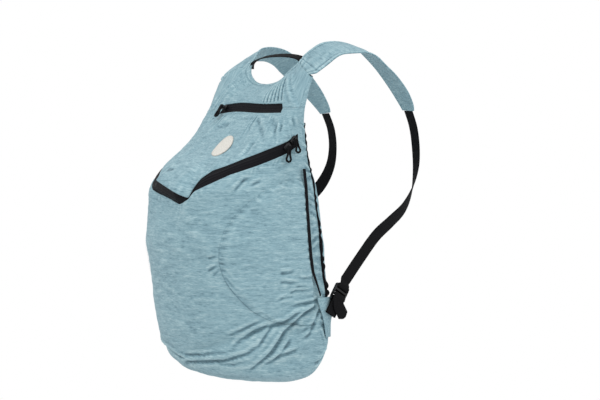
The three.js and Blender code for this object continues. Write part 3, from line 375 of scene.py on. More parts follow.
NORMALS = normal_table()


def table_at(table, girth, t):
    """A table's value at signed girths and rows; x changes sign on the left."""
    girth, t = np.broadcast_arrays(np.asarray(girth, float), np.asarray(t, float))
    girth = (girth + 1) % 2 - 1
    x = np.abs(girth) * (len(TABLE_GIRTHS) - 1)
    y = np.clip(t, 0, LAST_ROW) / LAST_ROW * (len(TABLE_ROWS) - 1)
    i = np.clip(np.floor(x).astype(int), 0, len(TABLE_GIRTHS) - 2)
    j = np.clip(np.floor(y).astype(int), 0, len(TABLE_ROWS) - 2)
    fx, fy = (x - i)[..., None], (y - j)[..., None]
    low = table[j, i] * (1 - fx) + table[j, i + 1] * fx
    high = table[j + 1, i] * (1 - fx) + table[j + 1, i + 1] * fx
    value = low * (1 - fy) + high * fy
    value[..., 0] *= np.where(girth < 0, -1, 1)
    return value


LEVELS = along(SECTIONS, TABLE_ROWS)[:, 0]


def row_of(level):
    return np.interp(level, LEVELS, TABLE_ROWS)


def level_of(t):
    return np.interp(t, TABLE_ROWS, LEVELS)


def rounded_edge(rows):
    """A fine table of an edge's level over girth, its corners rounded."""
    fine = np.linspace(-0.52, 0.52, 1041)
    kernel = np.array([1.0, 2, 3, 4, 5, 4, 3, 2, 1]) / 25
    level = np.interp(fine, rows[:, 0], rows[:, 1])
    return fine, np.convolve(np.pad(level, 4, mode="edge"), kernel, mode="valid")


LID_CURVE = rounded_edge(LID_EDGE)
FRONT_CURVE = rounded_edge(FRONT_EDGE)


def front_edge(girth):
    return np.interp(girth, *FRONT_CURVE)


def lid_edge(girth):
    return np.maximum(np.interp(girth, *LID_CURVE), front_edge(girth) + 0.004)


def beak_shift(girth, t):
    """How far the beak stands out from the plain surface, and the front under it lies back."""
    level = level_of(t)
    up, low = lid_edge(girth), front_edge(girth)
    share = np.clip((level - low) / (up - low), 0, 1)
    outside = np.maximum(level - up, low - level) * BAG_HEIGHT
    near = np.where(girth > 0, 1 - smooth((girth - 0.05) / 0.055), 1 - smooth((-girth - 0.075) / 0.055))
    return (share * (BEAK_LIFT + BEAK_TUCK) - BEAK_TUCK) * near * (1 - smooth(outside / BEAK_FADE))


def hem_arch(girth, t):
    """How far the top zip's line is drawn up a little left of its middle."""
    x = table_at(PLAIN, girth, np.full_like(np.asarray(girth, float), HEM_ROW))[..., 0]
    below = np.maximum(HEM_ROW - t, 0) * HEM_ROW_HEIGHT
    return HEM_ARCH * np.exp(-(((x + 25) / 48) ** 2) - below / 26) * (np.abs(girth) < ZIP_END)


def fold_lift(girth, t):
    level = level_of(t)
    lift = 0.0
    for g0, l0, g1, l1, width, depth in MAIN_FOLDS:
        dx, dy = (g1 - g0) * FOLD_AROUND, (l1 - l0) * BAG_HEIGHT
        px, py = (girth - g0) * FOLD_AROUND, (level - l0) * BAG_HEIGHT
        share = np.clip((px * dx + py * dy) / (dx * dx + dy * dy), 0, 1)
        off = np.hypot(px - share * dx, py - share * dy) / (width * BAG_WIDTH)
        lift = lift + depth * BAG_WIDTH * np.exp(-2 * off * off) * np.sin(math.pi * (0.15 + 0.75 * share))
    return lift


def crease(u, v, points, width, depth):
    """A valley along a line of points, with a lower ridge on its upper side, fading at its ends."""
    pts = np.array(points) * [AROUND, BAG_HEIGHT]
    spans = np.hypot(*np.diff(pts, axis=0).T)
    starts = np.concatenate([[0], np.cumsum(spans)])
    best = np.full(np.shape(u), 1e9)
    side = np.zeros(np.shape(u))
    place = np.zeros(np.shape(u))
    for k, span in enumerate(spans):
        a, d = pts[k], (pts[k + 1] - pts[k]) / span
        s = np.clip((u - a[0]) * d[0] + (v - a[1]) * d[1], 0, span)
        ox, oy = u - a[0] - s * d[0], v - a[1] - s * d[1]
        off = np.hypot(ox, oy)
        nearer = off < best
        cross = (d[0] * oy - d[1] * ox) * (1 if d[0] > 0 else -1)
        best = np.where(nearer, off, best)
        side = np.where(nearer, cross, side)
        place = np.where(nearer, (starts[k] + s) / starts[-1], place)
    fade = smooth(place / 0.2 + 0.25) * smooth((1 - place) / 0.45)
    valley = -bell(best / width)
    ridge = 0.65 * bell((best - 1.7 * width) / (1.1 * width)) * (side > 0)
    return depth * fade * (valley + ridge)


def cloth_detail(girth, t):
    """Small relief of the bag's cloth, in millimetres: creases, puckers at the seams and slack."""
    level = level_of(t)
    u, v = girth * AROUND, level * BAG_HEIGHT
    relief = 0.9 * lattice_noise(u / 44, v / 31, 1) + 0.5 * lattice_noise(u / 21 + v / 60, v / 12, 2)
    relief = relief + 0.22 * lattice_noise(u / 11, v / 5.5, 3)
    crisp = 1 - 2.4 * np.abs(lattice_noise(u / 30 + v / 45, v / 13 - u / 60, 7))
    relief = relief + 0.55 * crisp * smooth(lattice_noise(u / 60, v / 52, 8) + 0.4)
    for points, width, depth in CREASES:
        relief = relief + crease(u, v, points, width, depth)
    # puckers along the main zip
    from_zip = np.maximum(level - lid_edge(girth), front_edge(girth) - level) * BAG_HEIGHT
    along_zip = 1 - smooth((np.abs(girth) - ZIP_END) / 0.02)
    wave = np.sin(u / 2.1 + 9 * lattice_noise(u / 19, v / 26, 4))
    wave = wave * smooth(lattice_noise(u / 15, v / 30, 12) + 0.5)
    pucker = 0.55 * wave * np.exp(-np.maximum(from_zip - 4, 0) / 8) * smooth((from_zip - 1.5) / 3)
    relief = relief * (1 - along_zip * (1 - smooth((from_zip - 1) / 9))) + pucker * along_zip
    # gathers between the pocket's tape and the back seam
    strip = bell((np.abs(girth) - 0.53) / 0.018)
    gather = np.sin(v / 2.6 + 0.12 * u + 5 * lattice_noise(u / 30, v / 19, 5))
    gather = np.maximum(gather, -0.3) * (1 + lattice_noise(u / 40, v / 11, 9))
    relief = relief + 1.9 * strip * gather * smooth((level - 0.1) / 0.1) * smooth((0.92 - level) / 0.08)
    # calm under the top zip, then folds that hang from it
    from_hem = (HEM_ROW - t) * HEM_ROW_HEIGHT - TOP_ZIP_WIDTH / 2
    on_lid = smooth((level - lid_edge(girth)) * BAG_HEIGHT / 12) * along_zip * (t < HEM_ROW)
    relief = relief * (1 - on_lid * (1 - smooth(from_hem / 8)))
    lid_wave = np.sin(u / 4.6 + 8 * lattice_noise(u / 26, v / 60, 6))
    lid_wave = lid_wave * (0.5 + lattice_noise(u / 37, v / 90, 10))
    return relief + 1.2 * lid_wave * np.exp(-np.maximum(from_hem - 5, 0) / 24) * smooth(from_hem / 5) * on_lid


def shell_point(girth, t, lift=0.0, detail=1.0):
    """A point on the filled cloth with its folds."""
    girth, t = np.broadcast_arrays(np.asarray(girth, float), np.asarray(t, float))
    shift = (fold_lift(girth, t) + beak_shift(girth, t)) * smooth((HEM_ROW - t) / 1.5)
    shift = np.where(t < HEM_ROW, shift, 0.0)
    relief = detail * cloth_detail(girth, t) * smooth(t / 1.5) if detail else 0.0
    point = table_at(PLAIN, girth, t) + table_at(NORMALS, girth, t) * (shift + relief + lift)[..., None]
    sag = SIDE_SAG * point[..., 0] / (BAG_WIDTH / 2) * (1 - smooth(level_of(t) / 0.22))
    point[..., 2] += hem_arch(girth, t) - sag
    return point


def painted_crease_shade(relief, reach=3, depth=1.3):
    """Share of painted shade in narrow valleys of a grid of heights, with a little painted light on the
    ridges where it is below zero.
    """
    blurred = relief
    for axis in (0, 1):
        pad = [(reach, reach) if k == axis else (0, 0) for k in (0, 1)]
        wide = np.pad(blurred, pad, mode="edge")
        parts = [np.take(wide, np.arange(k, k + relief.shape[axis]), axis=axis) for k in range(2 * reach + 1)]
        blurred = np.mean(parts, axis=0)
    return np.clip((blurred - relief) / depth, -0.4, 1)


# Meshes


def linked(name, data):
    """A new object in the scene."""
    obj = bpy.data.objects.new(name, data)
    bpy.context.collection.objects.link(obj)
    return obj


def make_real(obj):
    """Replaces an object's mesh by what its modifiers give."""
    bpy.context.view_layer.update()
    whole = obj.evaluated_get(bpy.context.evaluated_depsgraph_get())
    obj.modifiers.clear()
    old = obj.data
    obj.data = bpy.data.meshes.new_from_object(whole)
    bpy.data.meshes.remove(old)


def declare(obj, nodes):
    """Lets a piece ride on the part and hides the CAD nodes it stands for."""
    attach(obj, "root")
    if nodes:
        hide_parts(*nodes)


def new_piece(name, points, quads, uvs, material, nodes=(), weld=False):
    """An object from points in millimetres, which rides on the part and stands for CAD nodes."""
    mesh = bpy.data.meshes.new(name)
    mesh.vertices.add(len(points))
    mesh.vertices.foreach_set("co", (np.asarray(points, float) * MM).ravel())
    mesh.loops.add(quads.size)
    mesh.loops.foreach_set("vertex_index", quads.astype(np.int32).ravel())
    mesh.polygons.add(len(quads))
    mesh.polygons.foreach_set("loop_start", np.arange(0, quads.size, quads.shape[1], dtype=np.int32))
    mesh.update(calc_edges=True)
    layer = mesh.uv_layers.new(name="cloth")
    uvs = np.asarray(uvs, float)
    layer.data.foreach_set("uv", (uvs[quads.ravel(), :2] * MM).ravel())
    # A third column of cloth places is painted shade, darkening the colour where crease shadows fall; it is
    # stored on the points.
    if uvs.shape[1] == 3:
        painted_shade = mesh.attributes.new("painted_shade", "FLOAT", "POINT")
        painted_shade.data.foreach_set("value", uvs[:, 2].astype(np.float32))
    if weld:
        weld_mesh(mesh)
    mesh.polygons.foreach_set("use_smooth", np.full(len(mesh.polygons), True))
    mesh.materials.append(material)
    obj = linked(name, mesh)
    declare(obj, nodes)
    return obj


def weld_mesh(mesh):
    b = bmesh.new()
    b.from_mesh(mesh)
    bmesh.ops.remove_doubles(b, verts=b.verts, dist=2e-5)
    bmesh.ops.dissolve_degenerate(b, edges=b.edges, dist=1e-6)
    bmesh.ops.recalc_face_normals(b, faces=b.faces)
    b.to_mesh(mesh)
    b.free()


def grid_quads(across, up, on=None, closed=False):
    """Quads of a grid whose point (i, j) is number i * up + j; on is a mask of cells."""
    cells = across if closed else across - 1
    i, j = np.meshgrid(np.arange(cells), np.arange(up - 1), indexing="ij")
    if on is not None:
        i, j = i[on], j[on]
    i, j = i.ravel(), j.ravel()
    k = (i + 1) % across
    return np.stack([i * up + j, k * up + j, k * up + j + 1, i * up + j + 1], axis=1)


def grid_piece(name, points, uvs, quads, material, nodes):
    """A piece from grids of points and cloth places."""
    uvs = uvs.reshape(-1, uvs.shape[-1])
    return new_piece(name, points.reshape(-1, 3), quads, uvs, material, nodes)


def kept(points, quads, uvs):
    """Drops the points that no quad uses."""
    used, back = np.unique(quads, return_inverse=True)
    return points[used], back.reshape(quads.shape), uvs[used]


def ribbon(name, middle, across, outward, ring, material, nodes=(), width=None, tall=1.0):
    """A closed band: ring holds points (share of width across, millimetres outward, times tall)."""
    count = len(middle)
    width = np.broadcast_to(np.asarray(width, float), (count,))
    tall = np.broadcast_to(np.asarray(tall, float), (count,))
    ring = np.asarray(ring, float)
    sides = len(ring)
    rings = (
        middle[:, None]
        + across[:, None] * (ring[None, :, 0, None] * width[:, None, None])
        + outward[:, None] * (ring[None, :, 1, None] * tall[:, None, None])
    )
    caps = [middle[:1, None].repeat(sides, 1), rings, middle[-1:, None].repeat(sides, 1)]
    points = np.concatenate(caps, axis=0)
    run = run_along(middle)
    run = np.concatenate([run[:1], run, run[-1:]])
    uv_u = np.broadcast_to(run[:, None], points.shape[:2])
    uv_v = np.broadcast_to(ring[None, :, 0] * width.max(), points.shape[:2])
    uvs = np.stack([uv_u, uv_v], axis=-1).reshape(-1, 2)
    quads = np.stack(
        [(i * sides + j, i * sides + (j + 1) % sides, (i + 1) * sides + (j + 1) % sides, (i + 1) * sides + j)
         for i in range(count + 1) for j in range(sides)]
    )
    return new_piece(name, points.reshape(-1, 3), quads, uvs, material, nodes, weld=True)


def flat_ring(thickness, cells=6, round_edge=0.06):
    """Cross-section of a webbing: flat faces and rounded edges."""
    h = thickness / 2
    shares = np.linspace(-0.5 + round_edge, 0.5 - round_edge, cells + 1)
    top = [(s, h) for s in shares]
    bottom = [(s, -h) for s in shares[::-1]]
    return top + [(0.5, 0.0)] + bottom + [(-0.5, 0.0)]


def resample(points, step):
    """Even steps along a line of points, and the run of the points along it."""
    run = run_along(points)
    count = max(int(round(run[-1] / step)), 2)
    goal = np.linspace(0, run[-1], count + 1)
    return goal, run


def octahedra(corners):
    """Points and triangles of one octahedron for each set of six corners."""
    corners = np.stack(corners, axis=1)
    tris = (np.arange(len(corners))[:, None, None] * 6 + OCTAHEDRON[None]).reshape(-1, 3)
    return corners.reshape(-1, 3), tris


def stitch_row(points, normals):
    """Small stretched octahedra along a line on a surface: points and triangles."""
    goal, run = resample(points, STITCH_PITCH)
    centre = np.stack([np.interp(goal, run, points[:, k]) for k in range(3)], axis=-1)
    normal = unit(np.stack([np.interp(goal, run, normals[:, k]) for k in range(3)], axis=-1))
    way = heading(centre)
    side = unit(np.cross(way, normal))
    lift = centre + normal * STITCH_HEIGHT * 0.4
    return octahedra([
        lift - way * STITCH_LENGTH / 2, lift + way * STITCH_LENGTH / 2,
        lift - side * STITCH_WIDTH / 2, lift + side * STITCH_WIDTH / 2,
        lift - normal * STITCH_HEIGHT, lift + normal * STITCH_HEIGHT,
    ])


def stitching(name, rows, material):
    """One piece from several stitched rows."""
    points, tris, start = [], [], 0
    for p, t in rows:
        points.append(p)
        tris.append(t + start)
        start += len(p)
    points = np.concatenate(points)
    return new_piece(name, points, np.concatenate(tris), points[:, :2], material)


# Materials


def srgb(r, g, b):
    """Linear colour of an sRGB one given from 0 to 255."""
    return [((c / 255 + 0.055) / 1.055) ** 2.4 if c > 10 else c / 255 / 12.92 for c in (r, g, b)] + [1.0]


class Shader:
    """A Principled material with short calls for adding and joining nodes."""

    def __init__(self, name, **values):
        self.material = bpy.data.materials.new(name)
        self.material.use_nodes = True
        self.tree = self.material.node_tree
        self.shader = self.tree.nodes["Principled BSDF"]
        for key, value in values.items():
            self.shader.inputs[key.replace("_", " ")].default_value = value

    def node(self, kind, inputs=None, **settings):
        n = self.tree.nodes.new("ShaderNode" + kind)
        for key, value in settings.items():
            setattr(n, key, value)
        for key, value in (inputs or {}).items():
            if isinstance(value, bpy.types.NodeSocket):
                self.tree.links.new(value, n.inputs[key])
            else:
                n.inputs[key].default_value = value
        return n

    def into(self, socket, name):
        self.tree.links.new(socket, self.shader.inputs[name])

    def cloth_place(self, *scale):
        uv = self.node("UVMap", uv_map="cloth")
        return self.node("Mapping", {"Vector": uv.outputs["UV"], "Scale": scale}).outputs["Vector"]

    def noise(self, vector, detail=2.0, roughness=0.5, scale=1.0):
        inputs = {"Vector": vector, "Detail": detail, "Roughness": roughness, "Scale": scale}
        return self.node("TexNoise", inputs).outputs["Fac"]

    def math(self, operation, a, b):
        return self.node("Math", {0: a, 1: b}, operation=operation).outputs[0]

    def ramp(self, fac, stops):
        n = self.node("ValToRGB", {"Fac": fac})
        elements = n.color_ramp.elements
        while len(elements) < len(stops):
            elements.new(0.5)
        for element, (at, colour) in zip(elements, stops):
            element.position = at
            element.color = colour
        return n.outputs["Color"]

    def bump(self, height, distance, strength=1.0, normal=None):
        inputs = {"Height": height, "Distance": distance, "Strength": strength}
        if normal is not None:
            inputs["Normal"] = normal
        return self.node("Bump", inputs).outputs["Normal"]


def weave(shader, vector, scale):
    """Height of a plain weave from two sets of fine bands."""
    bands = [
        shader.node("TexWave", {"Vector": vector, "Scale": scale}, bands_direction=way).outputs["Fac"]
        for way in ("X", "Y")
    ]
    return shader.math("MULTIPLY", *bands)


def shell_material():
    s = Shader("shell_cloth", Roughness=0.66, Specular_IOR_Level=0.25, Sheen_Weight=0.08, Sheen_Roughness=0.5)
    fine = s.noise(s.cloth_place(130, 820, 1), detail=2.5, roughness=0.65)
    broad = s.noise(s.cloth_place(40, 260, 1), detail=3.0, roughness=0.6)
    cloud = s.noise(s.cloth_place(11, 22, 1), detail=2.0)
    both = s.math("ADD", s.math("MULTIPLY", fine, 0.52), s.math("MULTIPLY", broad, 0.38))
    tone = s.math("ADD", both, s.math("MULTIPLY", cloud, 0.12))
    # Painted shade: the cloth's colour is darkened in crease valleys and at seams, and lightened a little on
    # ridges, by the points' shade attribute.
    painted_shade = s.node("Attribute", attribute_name="painted_shade").outputs["Fac"]
    tone = s.math("SUBTRACT", tone, s.math("MULTIPLY", painted_shade, 0.2))
    colour = s.ramp(tone, [
        (0.2, srgb(78, 104, 114)),
        (0.38, srgb(112, 144, 156)),
        (0.47, srgb(137, 171, 182)),
        (0.55, srgb(150, 183, 192)),
        (0.68, srgb(184, 211, 216)),
    ])
    s.into(colour, "Base Color")
    crumple = s.noise(s.cloth_place(75, 160, 1), detail=4.0, roughness=0.64)
    threads = weave(s, s.cloth_place(1, 1, 1), 420)
    first = s.bump(threads, 0.00012, 0.6)
    second = s.bump(fine, 0.0004, 0.9, first)
    s.into(s.bump(crumple, 0.0024, 1.0, second), "Normal")
    return s.material


def ribbed_material(name, dark, light, rib, cross, roughness, distance):
    """Black narrow fabric with ribs along and across."""
    s = Shader(name, Roughness=roughness, Specular_IOR_Level=0.12)
    vector = s.cloth_place(1, 1, 1)
    ribs = s.node("TexWave", {"Vector": vector, "Scale": rib}, bands_direction="X").outputs["Fac"]
    picks = s.node("TexWave", {"Vector": vector, "Scale": cross}, bands_direction="Y").outputs["Fac"]
    height = s.math("MULTIPLY", ribs, picks)
    wear = s.noise(s.cloth_place(260, 260, 1), detail=3.0)
    tone = s.math("ADD", s.math("MULTIPLY", height, 0.55), s.math("MULTIPLY", wear, 0.45))
    s.into(s.ramp(tone, [(0.2, dark), (0.8, light)]), "Base Color")
    s.into(s.bump(height, distance, 0.8), "Normal")
    return s.material


def plastic_material():
    s = Shader("black_plastic", Roughness=0.4, Specular_IOR_Level=0.35)
    place = s.node("TexCoord").outputs["Object"]
    grain = s.noise(place, detail=2.0, scale=900.0)
    scuff = s.noise(place, detail=4.0, scale=160.0)
    s.into(s.ramp(scuff, [(0.35, srgb(10, 10, 12)), (0.75, srgb(24, 24, 27))]), "Base Color")
    s.into(s.bump(grain, 0.00008, 0.5), "Normal")
    return s.material


def patch_material():
    s = Shader("patch_cloth", Roughness=0.7, Specular_IOR_Level=0.3, Sheen_Weight=0.1)
    twill = s.node("TexWave", {"Vector": s.cloth_place(1, 1, 1), "Scale": 330}, bands_direction="DIAGONAL")
    speck = s.noise(s.cloth_place(420, 420, 1), detail=2.0)
    s.into(s.ramp(speck, [(0.3, srgb(208, 204, 194)), (0.7, srgb(236, 233, 225))]), "Base Color")
    s.into(s.bump(twill.outputs["Fac"], 0.00015, 0.7), "Normal")
    return s.material


def thread_material(name, colour):
    s = Shader(name, Roughness=0.55, Sheen_Weight=0.1)
    place = s.node("TexCoord").outputs["Object"]
    speck = s.noise(place, detail=2.0, scale=1400.0)
    light = [min(c * 1.25, 1) for c in colour[:3]] + [1.0]
    dark = [c * 0.75 for c in colour[:3]] + [1.0]
    s.into(s.ramp(speck, [(0.3, dark), (0.7, light)]), "Base Color")
    s.into(s.bump(speck, 0.00006, 0.5), "Normal")
    return s.material


SHELL = shell_material()
ZIP = ribbed_material("zip_tape", srgb(9, 9, 13), srgb(21, 20, 27), 260, 170, 0.6, 0.0002)
WEBBING = ribbed_material("webbing_black", srgb(9, 9, 11), srgb(25, 25, 28), 150, 95, 0.75, 0.0005)
BINDING = ribbed_material("binding_tape", srgb(12, 12, 15), srgb(28, 28, 33), 240, 200, 0.78, 0.0003)
PLASTIC = plastic_material()
PATCH = patch_material()
CORD = ribbed_material("pull_cord", srgb(10, 10, 12), srgb(28, 28, 31), 220, 220, 0.65, 0.0004)
SHELL_THREAD = thread_material("shell_thread", srgb(118, 152, 164))
PATCH_THREAD = thread_material("patch_thread", srgb(226, 223, 214))


# The bag's panels on one shared grid


def spaced(stops):
    """Values through (value, cells to it) pairs."""
    out = [stops[0][0]]
    for (a, _), (b, cells) in zip(stops, stops[1:]):
        out.extend(a + (b - a) * np.arange(1, cells + 1) / cells)
    return np.array(out)


half_girths = spaced([(0, 0), (0.09, 20), (0.15, 28), (ZIP_END, 100), (BACK_SEAM, 22), (1, 60)])
GIRTHS = np.concatenate([-half_girths[1:-1][::-1], half_girths])
BASE_CELLS, FRONT_CELLS, LIP_CELLS, ZIP_CELLS, LID_CELLS, HEM_CELLS, CROWN_CELLS = 36, 138, 3, 6, 64, 4, 16
FRONT_END = BASE_CELLS + FRONT_CELLS + LIP_CELLS
ZIP_TOP = FRONT_END + ZIP_CELLS
LID_END = ZIP_TOP + LIP_CELLS + LID_CELLS
LIP = 2.4 / BAG_HEIGHT
HEM = LID_END + HEM_CELLS
TOP = HEM + CROWN_CELLS


def hem_step(girth, width):
    """Half of the top zip's width as a step in rows."""
    row = np.full_like(girth, HEM_ROW)
    up = np.linalg.norm(table_at(PLAIN, girth, row) - table_at(PLAIN, girth, row - 0.02), axis=-1) / 0.02
    return width / 2 / up


def row_table(girths):
    low, up = front_edge(girths), lid_edge(girths)
    flat = np.full_like(girths, 1.0)
    stops = [
        (0 * flat, 0), (BASE_ROW * flat, BASE_CELLS), (row_of(low - LIP), FRONT_CELLS),
        (row_of(low), LIP_CELLS), (row_of(up), ZIP_CELLS), (row_of(up + LIP), LIP_CELLS),
        (HEM_ROW - hem_step(girths, TOP_ZIP_WIDTH), LID_CELLS),
        (HEM_ROW * flat, HEM_CELLS), (LAST_ROW * flat, CROWN_CELLS),
    ]
    rows = [stops[0][0]]
    for (a, _), (b, cells) in zip(stops, stops[1:]):
        rows.extend(a + (b - a) * k / cells for k in range(1, cells + 1))
    return np.stack(rows, axis=1)


ROWS = row_table(GIRTHS)
COLUMNS = GIRTHS[:, None] + 0 * ROWS
GRID = shell_point(COLUMNS, ROWS)
# the cloth's edges turn in at the zips
turned_in = np.zeros_like(ROWS)
turned_in[np.abs(GIRTHS) < ZIP_END, FRONT_END] = 1.2
turned_in[np.abs(GIRTHS) < ZIP_END, ZIP_TOP] = 1.2
turned_in[np.abs(GIRTHS) < ZIP_END, LID_END] = 0.8
GRID = GRID - table_at(NORMALS, COLUMNS, ROWS) * turned_in[..., None]
# The third column is painted shade in the creases of the bag's cloth.
GRID_UV = np.stack([
    COLUMNS * AROUND, level_of(ROWS) * BAG_HEIGHT + np.minimum(ROWS, 2) * FOOT_UV,
    painted_crease_shade(cloth_detail(COLUMNS, ROWS)),
], axis=-1)
signed_girth = (GIRTHS + np.append(GIRTHS[1:], 2 + GIRTHS[0])) / 2
signed_girth = np.where(signed_girth > 1, signed_girth - 2, signed_girth)
cell_girth = np.abs(signed_girth)[:, None]
cell_row = np.arange(TOP)[None, :]


def hem_x(girth):
    return table_at(PLAIN, girth, np.full_like(girth, HEM_ROW))[..., 0]


HEM_GIRTHS = np.linspace(-0.5, 0.5, 401)
TOP_ZIP_GIRTHS = np.interp(TOP_ZIP_ENDS, hem_x(HEM_GIRTHS), HEM_GIRTHS)


def in_top_zip(girth):
    return (girth > TOP_ZIP_GIRTHS[0]) & (girth < TOP_ZIP_GIRTHS[1])


def panel(name, on, nodes):
    quads = grid_quads(len(GIRTHS), TOP + 1, on, closed=True)
    points, quads, uvs = kept(GRID.reshape(-1, 3), quads, GRID_UV.reshape(-1, 3))
    return new_piece(name, points, quads, uvs, SHELL, nodes, weld=True)


side_or_low = (cell_row < FRONT_END) | (cell_girth > ZIP_END)
panel("bag_body", (cell_row < BASE_CELLS) | ((cell_girth < BACK_SEAM) & side_or_low), ["body_panel"])
panel("bag_back", (cell_row >= BASE_CELLS) & (cell_girth > BACK_SEAM), ["back_panel"])
lid_rows = (cell_row >= ZIP_TOP) & (cell_row < HEM)
top_zip_cells = (cell_row >= LID_END) & in_top_zip(signed_girth)[:, None]
panel("bag_lid", (cell_girth < ZIP_END) & lid_rows & ~top_zip_cells, ["lid_panel"])


# Main zip


def zip_profile(share):
    """Height across a closed coil zip, share from 0 to 1: tape, raised coil and the line where it closes."""
    off = np.abs(share - 0.5) * 2
    coil = 0.9 * np.exp(-((off / 0.3) ** 4))
    return -0.2 + coil - 0.7 * bell(off / 0.06)


def main_zip():
    girths = GIRTHS[np.abs(GIRTHS) <= ZIP_END + 1e-6]
    cells = 24
    share = np.linspace(0, 1, cells + 1)
    low, up = front_edge(girths) - LIP, lid_edge(girths) + LIP
    g = girths[:, None] + 0 * share[None]
    level = low[:, None] + (up - low)[:, None] * share[None]
    rows = row_of(level)
    points = shell_point(g, rows, detail=0.0)
    points = points + table_at(NORMALS, g, rows) * (zip_profile(share)[None, :, None] - 0.9)
    uvs = np.stack([g * AROUND, (share[None] + 0 * g) * MAIN_ZIP_WIDTH], axis=-1)
    quads = grid_quads(len(girths), cells + 1)
    grid_piece("main_zip", points, uvs, quads, ZIP, ["main_zip_tape"])


main_zip()


# Yoke and top zip


half_hem = np.concatenate([np.arange(0, 5) * 0.09 / 4, 0.09 + np.arange(1, 13) * (ZIP_END - 0.09) / 12])
hem_girths = np.concatenate([-half_hem[1:][::-1], half_hem])
YOKE_LAST = len(hem_girths) + 3
index_girth = np.concatenate([[-ZIP_END] * 2, hem_girths, [ZIP_END] * 2])
index_row = np.concatenate([[15, 14.5], np.full(len(hem_girths), HEM_ROW), [14.5, 15]])


def yoke_girth(i):
    return np.interp(i, np.arange(YOKE_LAST + 1), index_girth)


def yoke_row(i):
    return np.interp(i, np.arange(YOKE_LAST + 1), index_row)


def neck_point(share):
    """The neck opening's edge, share from -1 on the left to 1 on the right."""
    at = along(NECK_EDGE, np.abs(share) ** 1.15 * (len(NECK_EDGE) - 1))
    x = np.sign(share) * at[..., 0] * NECK_WIDTH / 2
    return np.stack([x, at[..., 1] * NECK_DROP, -at[..., 2] * NECK_DROP], axis=-1)


def yoke_point(i, share, lift=0.0, relief=1.0):
    i, share = np.broadcast_arrays(np.asarray(i, float), np.asarray(share, float))
    low = shell_point(yoke_girth(i), yoke_row(i), detail=0.0)
    high = neck_point(2 * i / YOKE_LAST - 1)
    reach = np.linalg.norm(high - low, axis=-1)
    bulge = np.sin(math.pi * share) * reach * 0.09
    bend = np.stack([0 * bulge, -bulge, 0.6 * bulge], axis=-1)
    normal = unit(np.stack([0.35 * (2 * i / YOKE_LAST - 1), -0.75 + 0 * i, 0.62 + 0 * i], axis=-1))
    raised = (lift + relief * yoke_relief(i, share))[..., None]
    return low + (high - low) * share[..., None] + bend + normal * raised


def yoke_relief(i, share):
    u, v = (i - YOKE_LAST / 2) * YOKE_STEP, share * YOKE_RISE
    relief = 1.0 * lattice_noise(u / 30, v / 22, 11) + 0.5 * lattice_noise(u / 12, v / 9, 12)
    relief = relief * smooth((share - 0.12) / 0.2)
    # stitched gathers above the right half of the zip
    across = i - 24.2 - 1.6 * (share - 0.4)
    window = smooth((across + 0.6) / 0.6) * smooth((6.6 - across) / 0.6)
    window = window * smooth((share - 0.14) / 0.08) * smooth((0.8 - share) / 0.1)
    relief = relief - 2.6 * window * np.maximum(np.cos(2 * math.pi * across / 1.2), -0.2)
    # short wrinkles where the strap pulls
    pull = bell((i - 32.5) / 2.0) * smooth(share / 0.2) * smooth((0.85 - share) / 0.3)
    relief = relief + 1.3 * pull * np.sin(u / 2.6 + v / 9)
    mirror = bell((i - 5.5) / 2.6) * smooth(share / 0.2) * smooth((0.85 - share) / 0.3)
    relief = relief + 1.1 * mirror * np.sin(u / 2.9 - v / 10)
    # the edge's hem
    hem = smooth((share - 0.9) / 0.02)
    groove = -0.8 * bell((share - 0.895) / 0.012)
    seam = -1.6 * bell((i - 5.2 - 1.0 * share) / 0.22) * smooth((0.9 - share) / 0.2)
    return (relief + seam) * (1 - 0.7 * hem) + groove + 0.5 * hem


def first_share(i):
    low = table_at(PLAIN, yoke_girth(i), yoke_row(i))
    reach = np.linalg.norm(neck_point(2 * i / YOKE_LAST - 1) - low, axis=-1)
    return np.minimum(TOP_ZIP_WIDTH / 2 / reach, 0.3)


def yoke():
    places = np.linspace(0, YOKE_LAST, 289)
    zip_rows, cloth_rows = 4, 44
    first = first_share(places)[:, None]
    low = first * np.linspace(0, 1, zip_rows + 1)[None]
    high = first + (1 - first) * np.linspace(0, 1, cloth_rows + 1)[None, 1:]
    share = np.concatenate([low, high], axis=1)
    i = places[:, None] + 0 * share
    points = yoke_point(i, share)
    up = share.shape[1]
    middle = (places[1:] + places[:-1]) / 2
    on = ~(in_top_zip(yoke_girth(middle))[:, None] & (np.arange(up - 1)[None] < zip_rows))
    # The third column is painted shade in the yoke's creases and gathers.
    uvs = np.stack([
        (i - YOKE_LAST / 2) * YOKE_STEP, share * YOKE_RISE + YOKE_UV, painted_crease_shade(yoke_relief(i, share)),
    ], axis=-1)
    quads = grid_quads(len(places), up, on)
    points, quads, uvs = kept(points.reshape(-1, 3), quads, uvs.reshape(-1, 3))
    obj = new_piece("bag_yoke", points, quads, uvs, SHELL, ["yoke"], weld=True)
    thicken(obj, YOKE_WALL)


def thicken(obj, thickness):
    """Gives a sheet its wall, behind its outer face."""
    solid = obj.modifiers.new("wall", "SOLIDIFY")
    solid.thickness = thickness * MM
    solid.offset = -1
    make_real(obj)


yoke()


